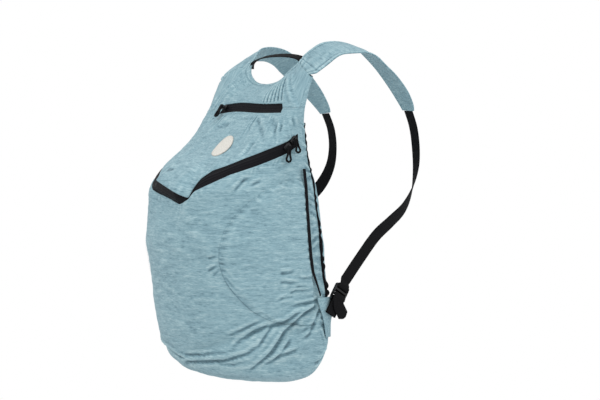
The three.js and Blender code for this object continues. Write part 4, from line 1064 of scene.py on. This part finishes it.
def top_zip():
    ends = np.interp(TOP_ZIP_GIRTHS, index_girth[2:-2], np.arange(2, YOKE_LAST - 1))
    places = np.linspace(ends[0] - 0.3, ends[1] + 0.3, 131)
    cells = 20
    share = np.linspace(-1.2, 1.2, cells + 1)
    girth = yoke_girth(places)
    rows = HEM_ROW + np.minimum(share, 0)[None] * hem_step(girth, TOP_ZIP_WIDTH)[:, None]
    below = shell_point(girth[:, None] + 0 * rows, rows, detail=0.0)
    above = yoke_point(places[:, None], np.maximum(share, 0)[None] * first_share(places)[:, None], relief=0.0)
    points = np.where((share < 0)[None, :, None], below, above)
    normal = table_at(NORMALS, girth, np.full_like(girth, HEM_ROW - 0.3))[:, None]
    points = points + normal * (zip_profile((share + 1.2) / 2.4) - 1.0)[None, :, None]
    across = girth[:, None] + 0 * share[None]
    uvs = np.stack([across * AROUND, share[None] * TOP_ZIP_WIDTH / 2 + 0 * across], axis=-1)
    quads = grid_quads(len(places), cells + 1)
    grid_piece("top_zip", points, uvs, quads, ZIP, ["top_zip_tape"])


top_zip()


# Shoulder straps


def strap_stations(t):
    last = len(STRAP_PATH) - 1
    scale = np.array([SHOULDER_HALF, STRAP_REACH, STRAP_DROP])
    middle = along(STRAP_PATH, t)[:, :3] * scale
    ahead = along(STRAP_PATH, np.minimum(t + 0.05, last))[:, :3] * scale
    behind = along(STRAP_PATH, np.maximum(t - 0.05, 0))[:, :3] * scale
    way = unit(ahead - behind)
    slope, skew = np.radians(along(STRAP_PATH, t)[:, 4]), np.radians(along(STRAP_PATH, t)[:, 5])
    across = unit(np.stack([np.cos(slope) * np.cos(skew), -np.sin(skew), -np.sin(slope)], axis=-1))
    return middle, across, unit(np.cross(across, way)), along(STRAP_PATH, t)[:, 3] * STRAP_WIDTH


def strap_relief(share, run, side):
    """Height of a strap's face: hems at both edges, slack between them and wrinkles at its roots."""
    edge = 0.5 - np.abs(share)
    hem = 1 - smooth((edge - 0.085) / 0.02)
    groove = -0.9 * bell((edge - 0.1) / 0.018)
    slack = 0.9 * (1 - (2 * share) ** 2)
    u, v = share * STRAP_WIDTH, run
    wrinkle = 0.5 * lattice_noise(u / 13, v / 34 + side, 21) + 0.3 * lattice_noise(u / 6, v / 15, 22)
    root = np.exp(-np.maximum(run - 15, 0) / 30)
    wrinkle = wrinkle + 1.1 * root * np.sin(u / 2.8 + v / 13 + 2 * lattice_noise(u / 20, v / 20, 23))
    seam = -1.3 * bell((run - 24) / 1.6)
    return slack + 0.5 * hem + groove + wrinkle * (1 - hem) + seam


def shoulder_strap(name, side):
    t = np.concatenate([np.zeros(ROOT_STEPS), np.linspace(0, len(STRAP_PATH) - 1, STRAP_STEPS)])
    middle, across, outward, width = strap_stations(t)
    # the root runs on under the yoke
    under = np.append(np.arange(ROOT_STEPS, 0, -1) * ROOT_STEP, np.zeros(STRAP_STEPS))[:, None]
    way = unit(middle[ROOT_STEPS + 1] - middle[ROOT_STEPS])
    middle = middle - way * under - outward[ROOT_STEPS] * under * 0.2
    run = run_along(middle)
    cells = 36
    share = np.linspace(-0.5, 0.5, cells + 1)
    flare = STRAP_FLARE[side] * smooth((run - 12) / 10) * (1 - smooth((run - 26) / 55))
    flare = flare[:, None] * np.maximum(share, 0)[None] * 2
    width = width * (0.5 + 0.5 * smooth(run / 17))
    edge_round = STRAP_EDGE * np.sqrt(np.maximum(1 - (np.maximum(np.abs(share) - 0.47, 0) / 0.03) ** 2, 0))
    near_edge = smooth((0.5 - np.abs(share)) / 0.03)[None]
    top = strap_relief(share[None], run[:, None], side) * near_edge + edge_round[None]
    flat = middle[:, None] + across[:, None] * (share[None] * width[:, None] + flare)[..., None]
    front = flat + outward[:, None] * top[..., None]
    rear = flat - outward[:, None] * (0.9 * edge_round / STRAP_EDGE)[None, :, None]
    loop = np.concatenate([front, rear[:, ::-1]], axis=1)
    sides = loop.shape[1]
    loop = np.concatenate([middle[:1, None].repeat(sides, 1), loop, middle[-1:, None].repeat(sides, 1)])
    if side < 0:
        loop = loop * [-1, 1, 1]
    runs = np.concatenate([run[:1], run, run[-1:]])
    shares = np.concatenate([share, share[::-1]])
    # Painted shade in the strap's grooves and wrinkles.
    valley = painted_crease_shade(np.pad(np.concatenate([top, 0 * top], axis=1), ((1, 1), (0, 0)), mode="edge"), 2, 1.0)
    uvs = np.stack([
        shares[None] * STRAP_WIDTH + 0 * runs[:, None], runs[:, None] + 0 * shares[None] + STRAP_UV, valley,
    ], axis=-1)
    start = np.arange(len(loop) - 1) * sides
    closing = np.stack([start + sides - 1, start + 2 * sides - 1, start + sides, start], axis=1)
    quads = np.concatenate([grid_quads(len(loop), sides), closing])
    new_piece(f"strap_{name}", loop.reshape(-1, 3), quads, uvs.reshape(-1, 3), SHELL,
              [f"shoulder_strap_{name}"], weld=True)
    rows = []
    for s in (-0.4, 0.4):
        height = strap_relief(np.full(len(run), s), run, side) + 1.7
        aside = s * width + flare[:, int((s + 0.5) * cells)]
        line = middle + across * aside[:, None] + outward * height[:, None]
        mirror = np.array([side, 1, 1])
        rows.append(stitch_row(line * mirror, outward * mirror))
    stitching(f"strap_stitches_{name}", rows, SHELL_THREAD)


for side_name, side_sign in SIDES:
    shoulder_strap(side_name, side_sign)


# Webbing, ladder locks and anchor loops


lock_middle = np.array([LOCK_AT[0] * BAG_WIDTH / 2, LOCK_AT[1] * STRAP_REACH, LOCK_AT[2] * BAG_HEIGHT])
lock_up = np.array([0, math.cos(LOCK_TILT), math.sin(LOCK_TILT)])
lock_out = np.array([1.0, 0, 0])
lock_across = np.cross(lock_up, lock_out)
slot_gap = (LOCK_LENGTH - 4 * LOCK_BAR) / 3
slot_middle = [-LOCK_LENGTH / 2 + LOCK_BAR + k * (slot_gap + LOCK_BAR) + slot_gap / 2 for k in range(3)]
lock_clear = LOCK_WALL / 2 + WEB_WALL / 2 + REST_GAP
tail_lift = lock_clear + WEB_WALL + REST_GAP


def in_lock(y, z):
    return lock_middle + lock_up * y + lock_out * z


def web_points():
    scale = np.array([BAG_WIDTH / 2, STRAP_REACH, BAG_HEIGHT])
    t = np.linspace(0, len(WEB_PATH) - 1, 60)
    at = along(WEB_PATH, t)
    middle = at[:, :3] * scale
    way = heading(middle)
    turn = np.radians(at[:, 3])
    face = np.stack([np.sin(turn), np.cos(turn), 0 * turn], axis=-1)
    return middle, unit(np.cross(way, face))


def smooth_line(points, across):
    """A finer, rounded line through points, with its across directions."""
    t = np.linspace(0, len(points) - 1, max(int((len(points) - 1) * 5), 2))
    rows = along(np.concatenate([points, across], axis=1), t)
    return rows[:, :3], unit(rows[:, 3:])


def webbing_band(name, side, line, wide, node, width):
    out = unit(np.cross(wide, heading(line)))
    mirror = np.array([side, 1, 1])
    ribbon(name, line * mirror, wide * mirror, out * mirror, flat_ring(WEB_WALL, 8, 0.04),
           WEBBING, [node], width)


def webbing(name, side):
    middle, across = web_points()
    threaded = np.array([
        [LOCK_LENGTH / 2 + 2, lock_clear],
        [slot_middle[2] + 1.2, lock_clear - 0.5],
        [slot_middle[2], 0],
        [slot_middle[2] - 1.2, -lock_clear + 0.5],
        [(slot_middle[1] + slot_middle[2]) / 2, -lock_clear],
        [slot_middle[1] + 1.2, -lock_clear + 0.5],
        [slot_middle[1], 0],
        [slot_middle[1] - 1.2, lock_clear - 0.5],
        [slot_middle[1] - 4, lock_clear + 1.2],
        [slot_middle[0] - 1, tail_lift],
    ])
    lock_line = np.array([in_lock(y, z) for y, z in threaded])
    tail, tail_across = [], []
    at = in_lock(slot_middle[0] - 1, tail_lift + 0.2)
    steps = 8
    for k in range(steps):
        turn = LOCK_TILT + TAIL_TURN * min((k + 1) / 4, 1)
        way = np.array([0, -math.cos(turn), -math.sin(turn)])
        at = at + way * TAIL_LENGTH / steps
        tail.append(at)
        tail_across.append(np.cross(way, [1, 0, 0]))
    points = np.concatenate([middle, lock_line, tail])
    sides = np.concatenate([across, np.tile(-lock_across, (len(lock_line), 1)), tail_across])
    line, wide = smooth_line(points, sides)
    way = heading(line)
    wide = unit(wide - way * np.sum(wide * way, axis=1)[:, None])
    end = np.linspace(0, 1, len(line))
    width = WEB_WIDTH * np.where(end > 0.985, 1 - (end - 0.985) / 0.015 * 0.75, 1)
    in_slots = np.linalg.norm(line - lock_middle, axis=1) < LOCK_LENGTH / 2
    width = width + 4 * in_slots
    webbing_band(f"webbing_strap_{name}", side, line, wide, f"webbing_{name}", width)


def anchor(name, side):
    path = np.array([
        [-LOCK_LENGTH / 2 - ANCHOR_REACH, 3.2],
        [-LOCK_LENGTH / 2 - 9, 2.8],
        [-LOCK_LENGTH / 2 - 1, lock_clear],
        [-LOCK_LENGTH / 2 + LOCK_BAR - 0.6, lock_clear],
        [slot_middle[0] - 0.4, lock_clear - 0.8],
        [slot_middle[0] + 0.2, 0],
        [slot_middle[0] - 0.4, -lock_clear + 0.8],
        [-LOCK_LENGTH / 2 + LOCK_BAR - 0.6, -lock_clear],
        [-LOCK_LENGTH / 2 - 1, -lock_clear + 0.6],
        [-LOCK_LENGTH / 2 - 9, 0.6],
        [-LOCK_LENGTH / 2 - ANCHOR_REACH, 1.1],
    ])
    points = np.array([in_lock(y, z) for y, z in path])
    line, wide = smooth_line(points, np.tile(lock_across, (len(points), 1)))
    webbing_band(f"anchor_webbing_{name}", side, line, wide, f"anchor_loop_{name}", WEB_WIDTH)


def softened(name, node, bevel, material, shift=(0, 0, 0), swell=0.0):
    """A copy of a CAD solid with its edges rounded, moved and swollen by millimetres."""
    obj = linked(name, frame["nodes"][node].data.copy())
    obj.data.materials.clear()
    obj.data.materials.append(material)
    weld_mesh(obj.data)
    for vertex, normal in zip(obj.data.vertices, [v.normal.copy() for v in obj.data.vertices]):
        vertex.co += normal * swell * MM + Vector(shift) * MM
    mod = obj.modifiers.new("bevel", "BEVEL")
    mod.width = bevel * MM
    mod.segments = 3
    mod.limit_method = "ANGLE"
    make_real(obj)
    for polygon in obj.data.polygons:
        polygon.use_smooth = True
    obj.data.set_sharp_from_angle(angle=math.radians(SHARP_ANGLE))
    declare(obj, [node])


for side_name, side_sign in SIDES:
    webbing(side_name, side_sign)
    anchor(side_name, side_sign)
    softened(f"lock_{side_name}", f"ladder_lock_{side_name}", 0.7, PLASTIC)


# Wings


def wing(name, side):
    rise = 2 + 2 * REST_GAP + WING_WALL
    top_row, low_row = row_of(WING_ROOT["top"]), row_of(WING_ROOT["low"])
    scale = np.array([BAG_WIDTH / 2, STRAP_REACH, BAG_HEIGHT])
    tip, foot = np.array(WING_TIP) * scale, np.array(WING_FOOT) * scale
    up = np.linspace(0, 1, 41)
    start = WING_ROOT["low_girth"] + (WING_ROOT["girth"] - WING_ROOT["low_girth"]) * up
    across = np.linspace(0, 1, 25)
    girth = start[None] + (WING_ROOT["last"] - start)[None] * across[:, None]
    row = low_row + (top_row - low_row) * up[None] + 0 * girth
    on_bag = shell_point(girth, row, lift=rise, detail=0.2)
    edge = foot + (tip - foot) * up[:, None]
    out_share = np.linspace(0, 1, 13)[1:, None, None]
    flying = on_bag[-1][None] * (1 - out_share) + edge[None] * out_share
    points = np.concatenate([on_bag, flying])
    u = np.arange(len(points))[:, None] * 2.2
    ripple = 0.5 * lattice_noise(u / 9, up[None] * 9, 31) * np.sin(math.pi * up)[None]
    points = points + np.array([1.0, -0.3, 0]) * ripple[..., None]
    uvs = np.stack([u + 0 * up[None], up[None] * 60 + 0 * u], axis=-1)
    if side < 0:
        points = points[::-1] * [-1, 1, 1]
        uvs = uvs[::-1]
    quads = grid_quads(len(points), len(up))
    obj = grid_piece(f"wing_{name}_cloth", points, uvs, quads, SHELL, [f"wing_{name}"])
    thicken(obj, WING_WALL)


for side_name, side_sign in SIDES:
    wing(side_name, side_sign)


# Haul loop


def haul_loop():
    reach = NECK_WIDTH / 2 + 8
    low = along(NECK_EDGE, np.array([5.0]))[0]
    low_y, low_z = low[1] * NECK_DROP + 6.3, -low[2] * NECK_DROP - 6
    angle = math.pi * (1 - np.linspace(0, 1, 81))
    bow = np.maximum(np.sin(angle), 0) ** 0.65
    side = np.cos(angle)
    middle = np.stack([reach * side, low_y + HAUL_LEAN * bow * bow, low_z + HAUL_RISE * bow], axis=-1)
    way = heading(middle)
    across = np.stack([-0.75 * side ** 3, -0.94 + 0 * side, -0.34 * (1 - side ** 4)], axis=-1)
    across = unit(across - way * np.sum(across * way, axis=1)[:, None])
    out = unit(np.cross(across, way))
    ribbon("haul_webbing", middle, across, out, flat_ring(WEB_WALL, 8, 0.05), WEBBING,
           ["haul_loop"], HAUL_WIDTH)


haul_loop()


# Side pockets, their tapes and the back binding


POCKET_LIFT = 4.4


def smooth_seam():
    """The pocket's seam as a rounded line of (level, girth)."""
    rows = along(POCKET_SEAM, np.linspace(0, len(POCKET_SEAM) - 1, 200))
    return rows[:, 0], rows[:, 1]


SEAM_LEVEL, SEAM_GIRTH = smooth_seam()


def pocket(name, side):
    up, across = 180, 84
    level = np.linspace(POCKET_SEAM[0, 0], POCKET_SEAM[-1, 0], up + 1)
    seam = np.interp(level, SEAM_LEVEL, SEAM_GIRTH)
    mouth = MOUTH - 3.0 / FOLD_AROUND
    share = np.linspace(0, 1, across + 1)
    girth = seam[None] + (mouth - seam)[None] * share[:, None]
    row = row_of(level)[None] + 0 * girth
    from_seam = np.minimum((girth - seam[None]) * AROUND, 999)
    ends = np.minimum(level - level[0], level[-1] - level)[None] * BAG_HEIGHT
    away = np.minimum(from_seam, ends + 0 * girth)
    edge_lift = 0.9 - 0.7 * smooth((level - 0.36) / 0.12)
    lift = edge_lift + (POCKET_LIFT - edge_lift) * smooth(away / 16)
    u, v = girth * AROUND, level[None] * BAG_HEIGHT + 0 * girth
    pucker = np.sin((v + 0.35 * u) / 1.9 + 4 * lattice_noise(u / 15, v / 21, 41))
    lift = lift + 0.9 * pucker * np.exp(-away / 9) * smooth(away / 3)
    mouth_wave = np.sin(v / 2.3 + 3 * lattice_noise(u / 25, v / 17, 42))
    mouth_wave = mouth_wave * np.exp(-((mouth - girth) * AROUND) / 8)
    lift = lift + 0.6 * mouth_wave
    points = shell_point(side * girth, row, lift=lift)
    # Painted shade along the pocket's seam and in its creases.
    seam_shade = 0.8 * bell(away / 1.6) * (1 - 0.85 * smooth((level - 0.36) / 0.12))
    valley = painted_crease_shade(cloth_detail(side * girth, row) + lift) + seam_shade
    uvs = np.stack([side * u, v + FOOT_UV * np.minimum(row, 2), valley], axis=-1)
    if side < 0:
        points, uvs = points[::-1], uvs[::-1]
    quads = grid_quads(across + 1, up + 1)
    grid_piece(f"pocket_{name}", points, uvs, quads, SHELL, [f"side_pocket_{name}"])
    line_girth, line_row = side * (SEAM_GIRTH + 4.5 / AROUND), row_of(SEAM_LEVEL)
    line = shell_point(line_girth, line_row, lift=np.full(len(line_row), 3.2))
    return stitch_row(line, table_at(NORMALS, line_girth, line_row))


def cloth_band(name, side, girth_at, levels, width, thickness, lift, node, tall=1.0):
    """A strip of binding along the bag; girth_at, width and tall may change with the level."""
    level = np.linspace(*levels, 241)
    girth = side * girth_at(level)
    row = row_of(level)
    out = table_at(NORMALS, girth, row)
    tall = tall(level) if callable(tall) else tall + 0 * level
    middle = shell_point(girth, row, lift=lift + tall * thickness / 2, detail=0.8)
    way = heading(middle)
    across = unit(np.cross(way, out))
    out = unit(np.cross(across, way))
    widths = width(level) if callable(width) else width
    ring = flat_ring(thickness, 6, 0.08)
    ribbon(name, middle, across, out, ring, BINDING, [node], widths, tall)


def edge_girth(level):
    return BACK_SEAM - 0.012 * smooth((level - 0.5) / 0.3)


def edge_tall(level):
    """The binding thickens towards its foot and is drawn in between its stitches."""
    scallop = 1 + 0.3 * np.sin(level * BAG_HEIGHT / 3.1 + 2 * np.sin(level * 61))
    return (0.45 + 0.75 * (1 - smooth((level - 0.3) / 0.45))) * scallop


def mouth_girth(level):
    return MOUTH + 0.02 * (1 - smooth((level - 0.295) / 0.09))


def mouth_width(level):
    return 2.6 + 3.4 * smooth((level - 0.295) / 0.12)


for side_name, side_sign in SIDES:
    seam_row = pocket(side_name, side_sign)
    stitching(f"pocket_stitches_{side_name}", [seam_row], SHELL_THREAD)
    cloth_band(f"mouth_tape_{side_name}", side_sign, mouth_girth, (0.296, 0.72), mouth_width, 1.2,
               POCKET_LIFT, f"pocket_tape_{side_name}")
    cloth_band(f"edge_binding_{side_name}", side_sign, edge_girth, (0.29, 0.875), 2.6, 5.0, -0.8,
               f"back_binding_{side_name}", edge_tall)


# Patch


def patch():
    row = row_of(PATCH_AT[1])
    girth = PATCH_AT[0]
    here = table_at(PLAIN, girth, row)
    around = np.linalg.norm(table_at(PLAIN, girth + 0.01, row) - here) / 0.01
    upward = np.linalg.norm(table_at(PLAIN, girth, row + 0.1) - here) / 0.1
    angle = np.linspace(0, 2 * math.pi, PATCH_STEPS, endpoint=False)
    share = np.linspace(1, 0, 13)
    x = PATCH_LENGTH / 2 * share[None] * np.cos(angle)[:, None]
    y = PATCH_WIDTH / 2 * share[None] * np.sin(angle)[:, None]
    c, s = math.cos(PATCH_TURN), math.sin(PATCH_TURN)
    g, t = girth + (x * c - y * s) / around, row + (x * s + y * c) / upward
    normal = table_at(NORMALS, g, t)
    lift = 1.0 + 0.6 * smooth((1 - share) / 0.08)[None] + 0 * x
    points = shell_point(g, t, lift=lift, detail=0.3)
    uvs = np.stack([x, y], axis=-1)
    quads = grid_quads(PATCH_STEPS, len(share), closed=True)
    new_piece("blank_patch", points.reshape(-1, 3), quads, uvs.reshape(-1, 2), PATCH,
              ["patch"], weld=True)
    # the overlocked border: slanted threads side by side round the edge
    turns = np.linspace(0, 2 * math.pi, 150, endpoint=False)
    bx, by = (PATCH_LENGTH / 2 - 0.9) * np.cos(turns), (PATCH_WIDTH / 2 - 0.9) * np.sin(turns)
    bg, bt = girth + (bx * c - by * s) / around, row + (bx * s + by * c) / upward
    centre = shell_point(bg, bt, lift=np.full(len(bg), 1.5), detail=0.3)
    out = table_at(NORMALS, bg, bt)
    way = unit(np.roll(centre, -1, axis=0) - np.roll(centre, 1, axis=0))
    side = np.cross(way, out)
    slant = unit(side + 0.35 * way)
    thick = unit(way)
    threads, tris = octahedra([
        centre - slant * 1.5 - out * 0.2, centre + slant * 1.5 - out * 0.2,
        centre - thick * 0.42, centre + thick * 0.42,
        centre - out * 0.5, centre + out * 0.7,
    ])
    new_piece("patch_border", threads, tris, threads[:, :2], PATCH_THREAD)


patch()


# Zip sliders and cord pulls


SLIDER_X = -63.0
slider_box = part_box("top_slider")
slider_from = (slider_box[0][0] + slider_box[1][0]) / 2 / MM
slider_girths = np.interp([slider_from, SLIDER_X], hem_x(HEM_GIRTHS), HEM_GIRTHS)
slider_shift = shell_point(slider_girths[1], HEM_ROW, detail=0.0) - table_at(PLAIN, slider_girths[0], HEM_ROW)
for slider, pull, shift in (
    ("top_slider", "top_pull", slider_shift), ("main_slider_a", "main_pull_a", np.zeros(3)),
    ("main_slider_b", "main_pull_b", np.zeros(3)),
):
    softened(f"{slider}_body", slider, 0.35, PLASTIC, shift, 0.25)
    softened(f"{pull}_cord", pull, 0.3, CORD, shift, 0.9)


# Stage, light and camera


FLOOR_HEIGHT = -1.45
FLOOR_RADIUS = 3.0


def stage_floor():
    s = Shader("stage_floor", Roughness=0.9, Specular_IOR_Level=0.1)
    tone = s.noise(s.node("TexCoord").outputs["Object"], detail=2.0, scale=1.5)
    s.into(s.ramp(tone, [(0.3, srgb(238, 238, 238)), (0.7, srgb(244, 244, 244))]), "Base Color")
    place = (0, 0, FLOOR_HEIGHT)
    bpy.ops.mesh.primitive_circle_add(vertices=96, radius=FLOOR_RADIUS, fill_type="NGON", location=place)
    floor = bpy.context.object
    floor.name = "stage_floor"
    floor.data.materials.append(s.material)


def area_light(name, place, target, size, power):
    light = bpy.data.lights.new(name, "AREA")
    light.shape = "DISK"
    light.size = size
    light.energy = power
    obj = linked(name, light)
    obj.location = place
    obj.rotation_euler = look_along(np.asarray(target) - np.asarray(place))


def look_along(way):
    return Vector(way).to_track_quat("-Z", "Y").to_euler()


AZIMUTH, ELEVATION = math.radians(52), math.radians(2)
RIGHT = np.array([math.cos(AZIMUTH), math.sin(AZIMUTH), 0])
FORWARD = np.array([
    -math.sin(AZIMUTH) * math.cos(ELEVATION), math.cos(AZIMUTH) * math.cos(ELEVATION), -math.sin(ELEVATION),
])
UP = np.cross(RIGHT, FORWARD)
VIEW_DISTANCE = 2.4
METRES_PER_PIXEL = 0.00166  # at the origin
ORIGIN_PIXEL = (275, 52)
PICTURE_SIZE = (600, 400)
SENSOR_WIDTH = 36


def camera():
    focal_pixels = VIEW_DISTANCE / METRES_PER_PIXEL
    x = (ORIGIN_PIXEL[0] - PICTURE_SIZE[0] / 2) / focal_pixels * VIEW_DISTANCE
    y = (PICTURE_SIZE[1] / 2 - ORIGIN_PIXEL[1]) / focal_pixels * VIEW_DISTANCE
    data = bpy.data.cameras.new("camera")
    data.sensor_width = SENSOR_WIDTH
    data.lens = focal_pixels * SENSOR_WIDTH / PICTURE_SIZE[0]
    data.clip_start = 0.05
    data.clip_end = 50
    obj = linked("camera", data)
    obj.location = -(x * RIGHT + y * UP + VIEW_DISTANCE * FORWARD)
    obj.rotation_euler = look_along(FORWARD)
    bpy.context.scene.camera = obj


def world():
    w = bpy.data.worlds.new("white_room")
    bpy.context.scene.world = w
    w.use_nodes = True
    tree = w.node_tree
    tree.nodes.clear()
    out = tree.nodes.new("ShaderNodeOutputWorld")
    mix = tree.nodes.new("ShaderNodeMixShader")
    path = tree.nodes.new("ShaderNodeLightPath")
    seen = tree.nodes.new("ShaderNodeBackground")
    light = tree.nodes.new("ShaderNodeBackground")
    seen.inputs["Color"].default_value = (1, 1, 1, 1)
    seen.inputs["Strength"].default_value = 1.0
    light.inputs["Color"].default_value = (0.97, 0.985, 1, 1)
    light.inputs["Strength"].default_value = 0.78
    tree.links.new(path.outputs["Is Camera Ray"], mix.inputs[0])
    tree.links.new(light.outputs[0], mix.inputs[1])
    tree.links.new(seen.outputs[0], mix.inputs[2])
    tree.links.new(mix.outputs[0], out.inputs["Surface"])


CENTRE = np.array([0.02, -0.05, -0.27])
stage_floor()
area_light("key", CENTRE - RIGHT * 1.3 - FORWARD * 1.6 + UP * 1.7, CENTRE, 1.1, 15)
area_light("fill", CENTRE + RIGHT * 1.6 - FORWARD * 1.2 + UP * 0.4, CENTRE, 1.6, 8)
area_light("top", CENTRE + np.array([0, 0.2, 1.9]), CENTRE, 1.2, 4)
camera()
world()
bpy.context.scene.view_settings.view_transform = "Standard"
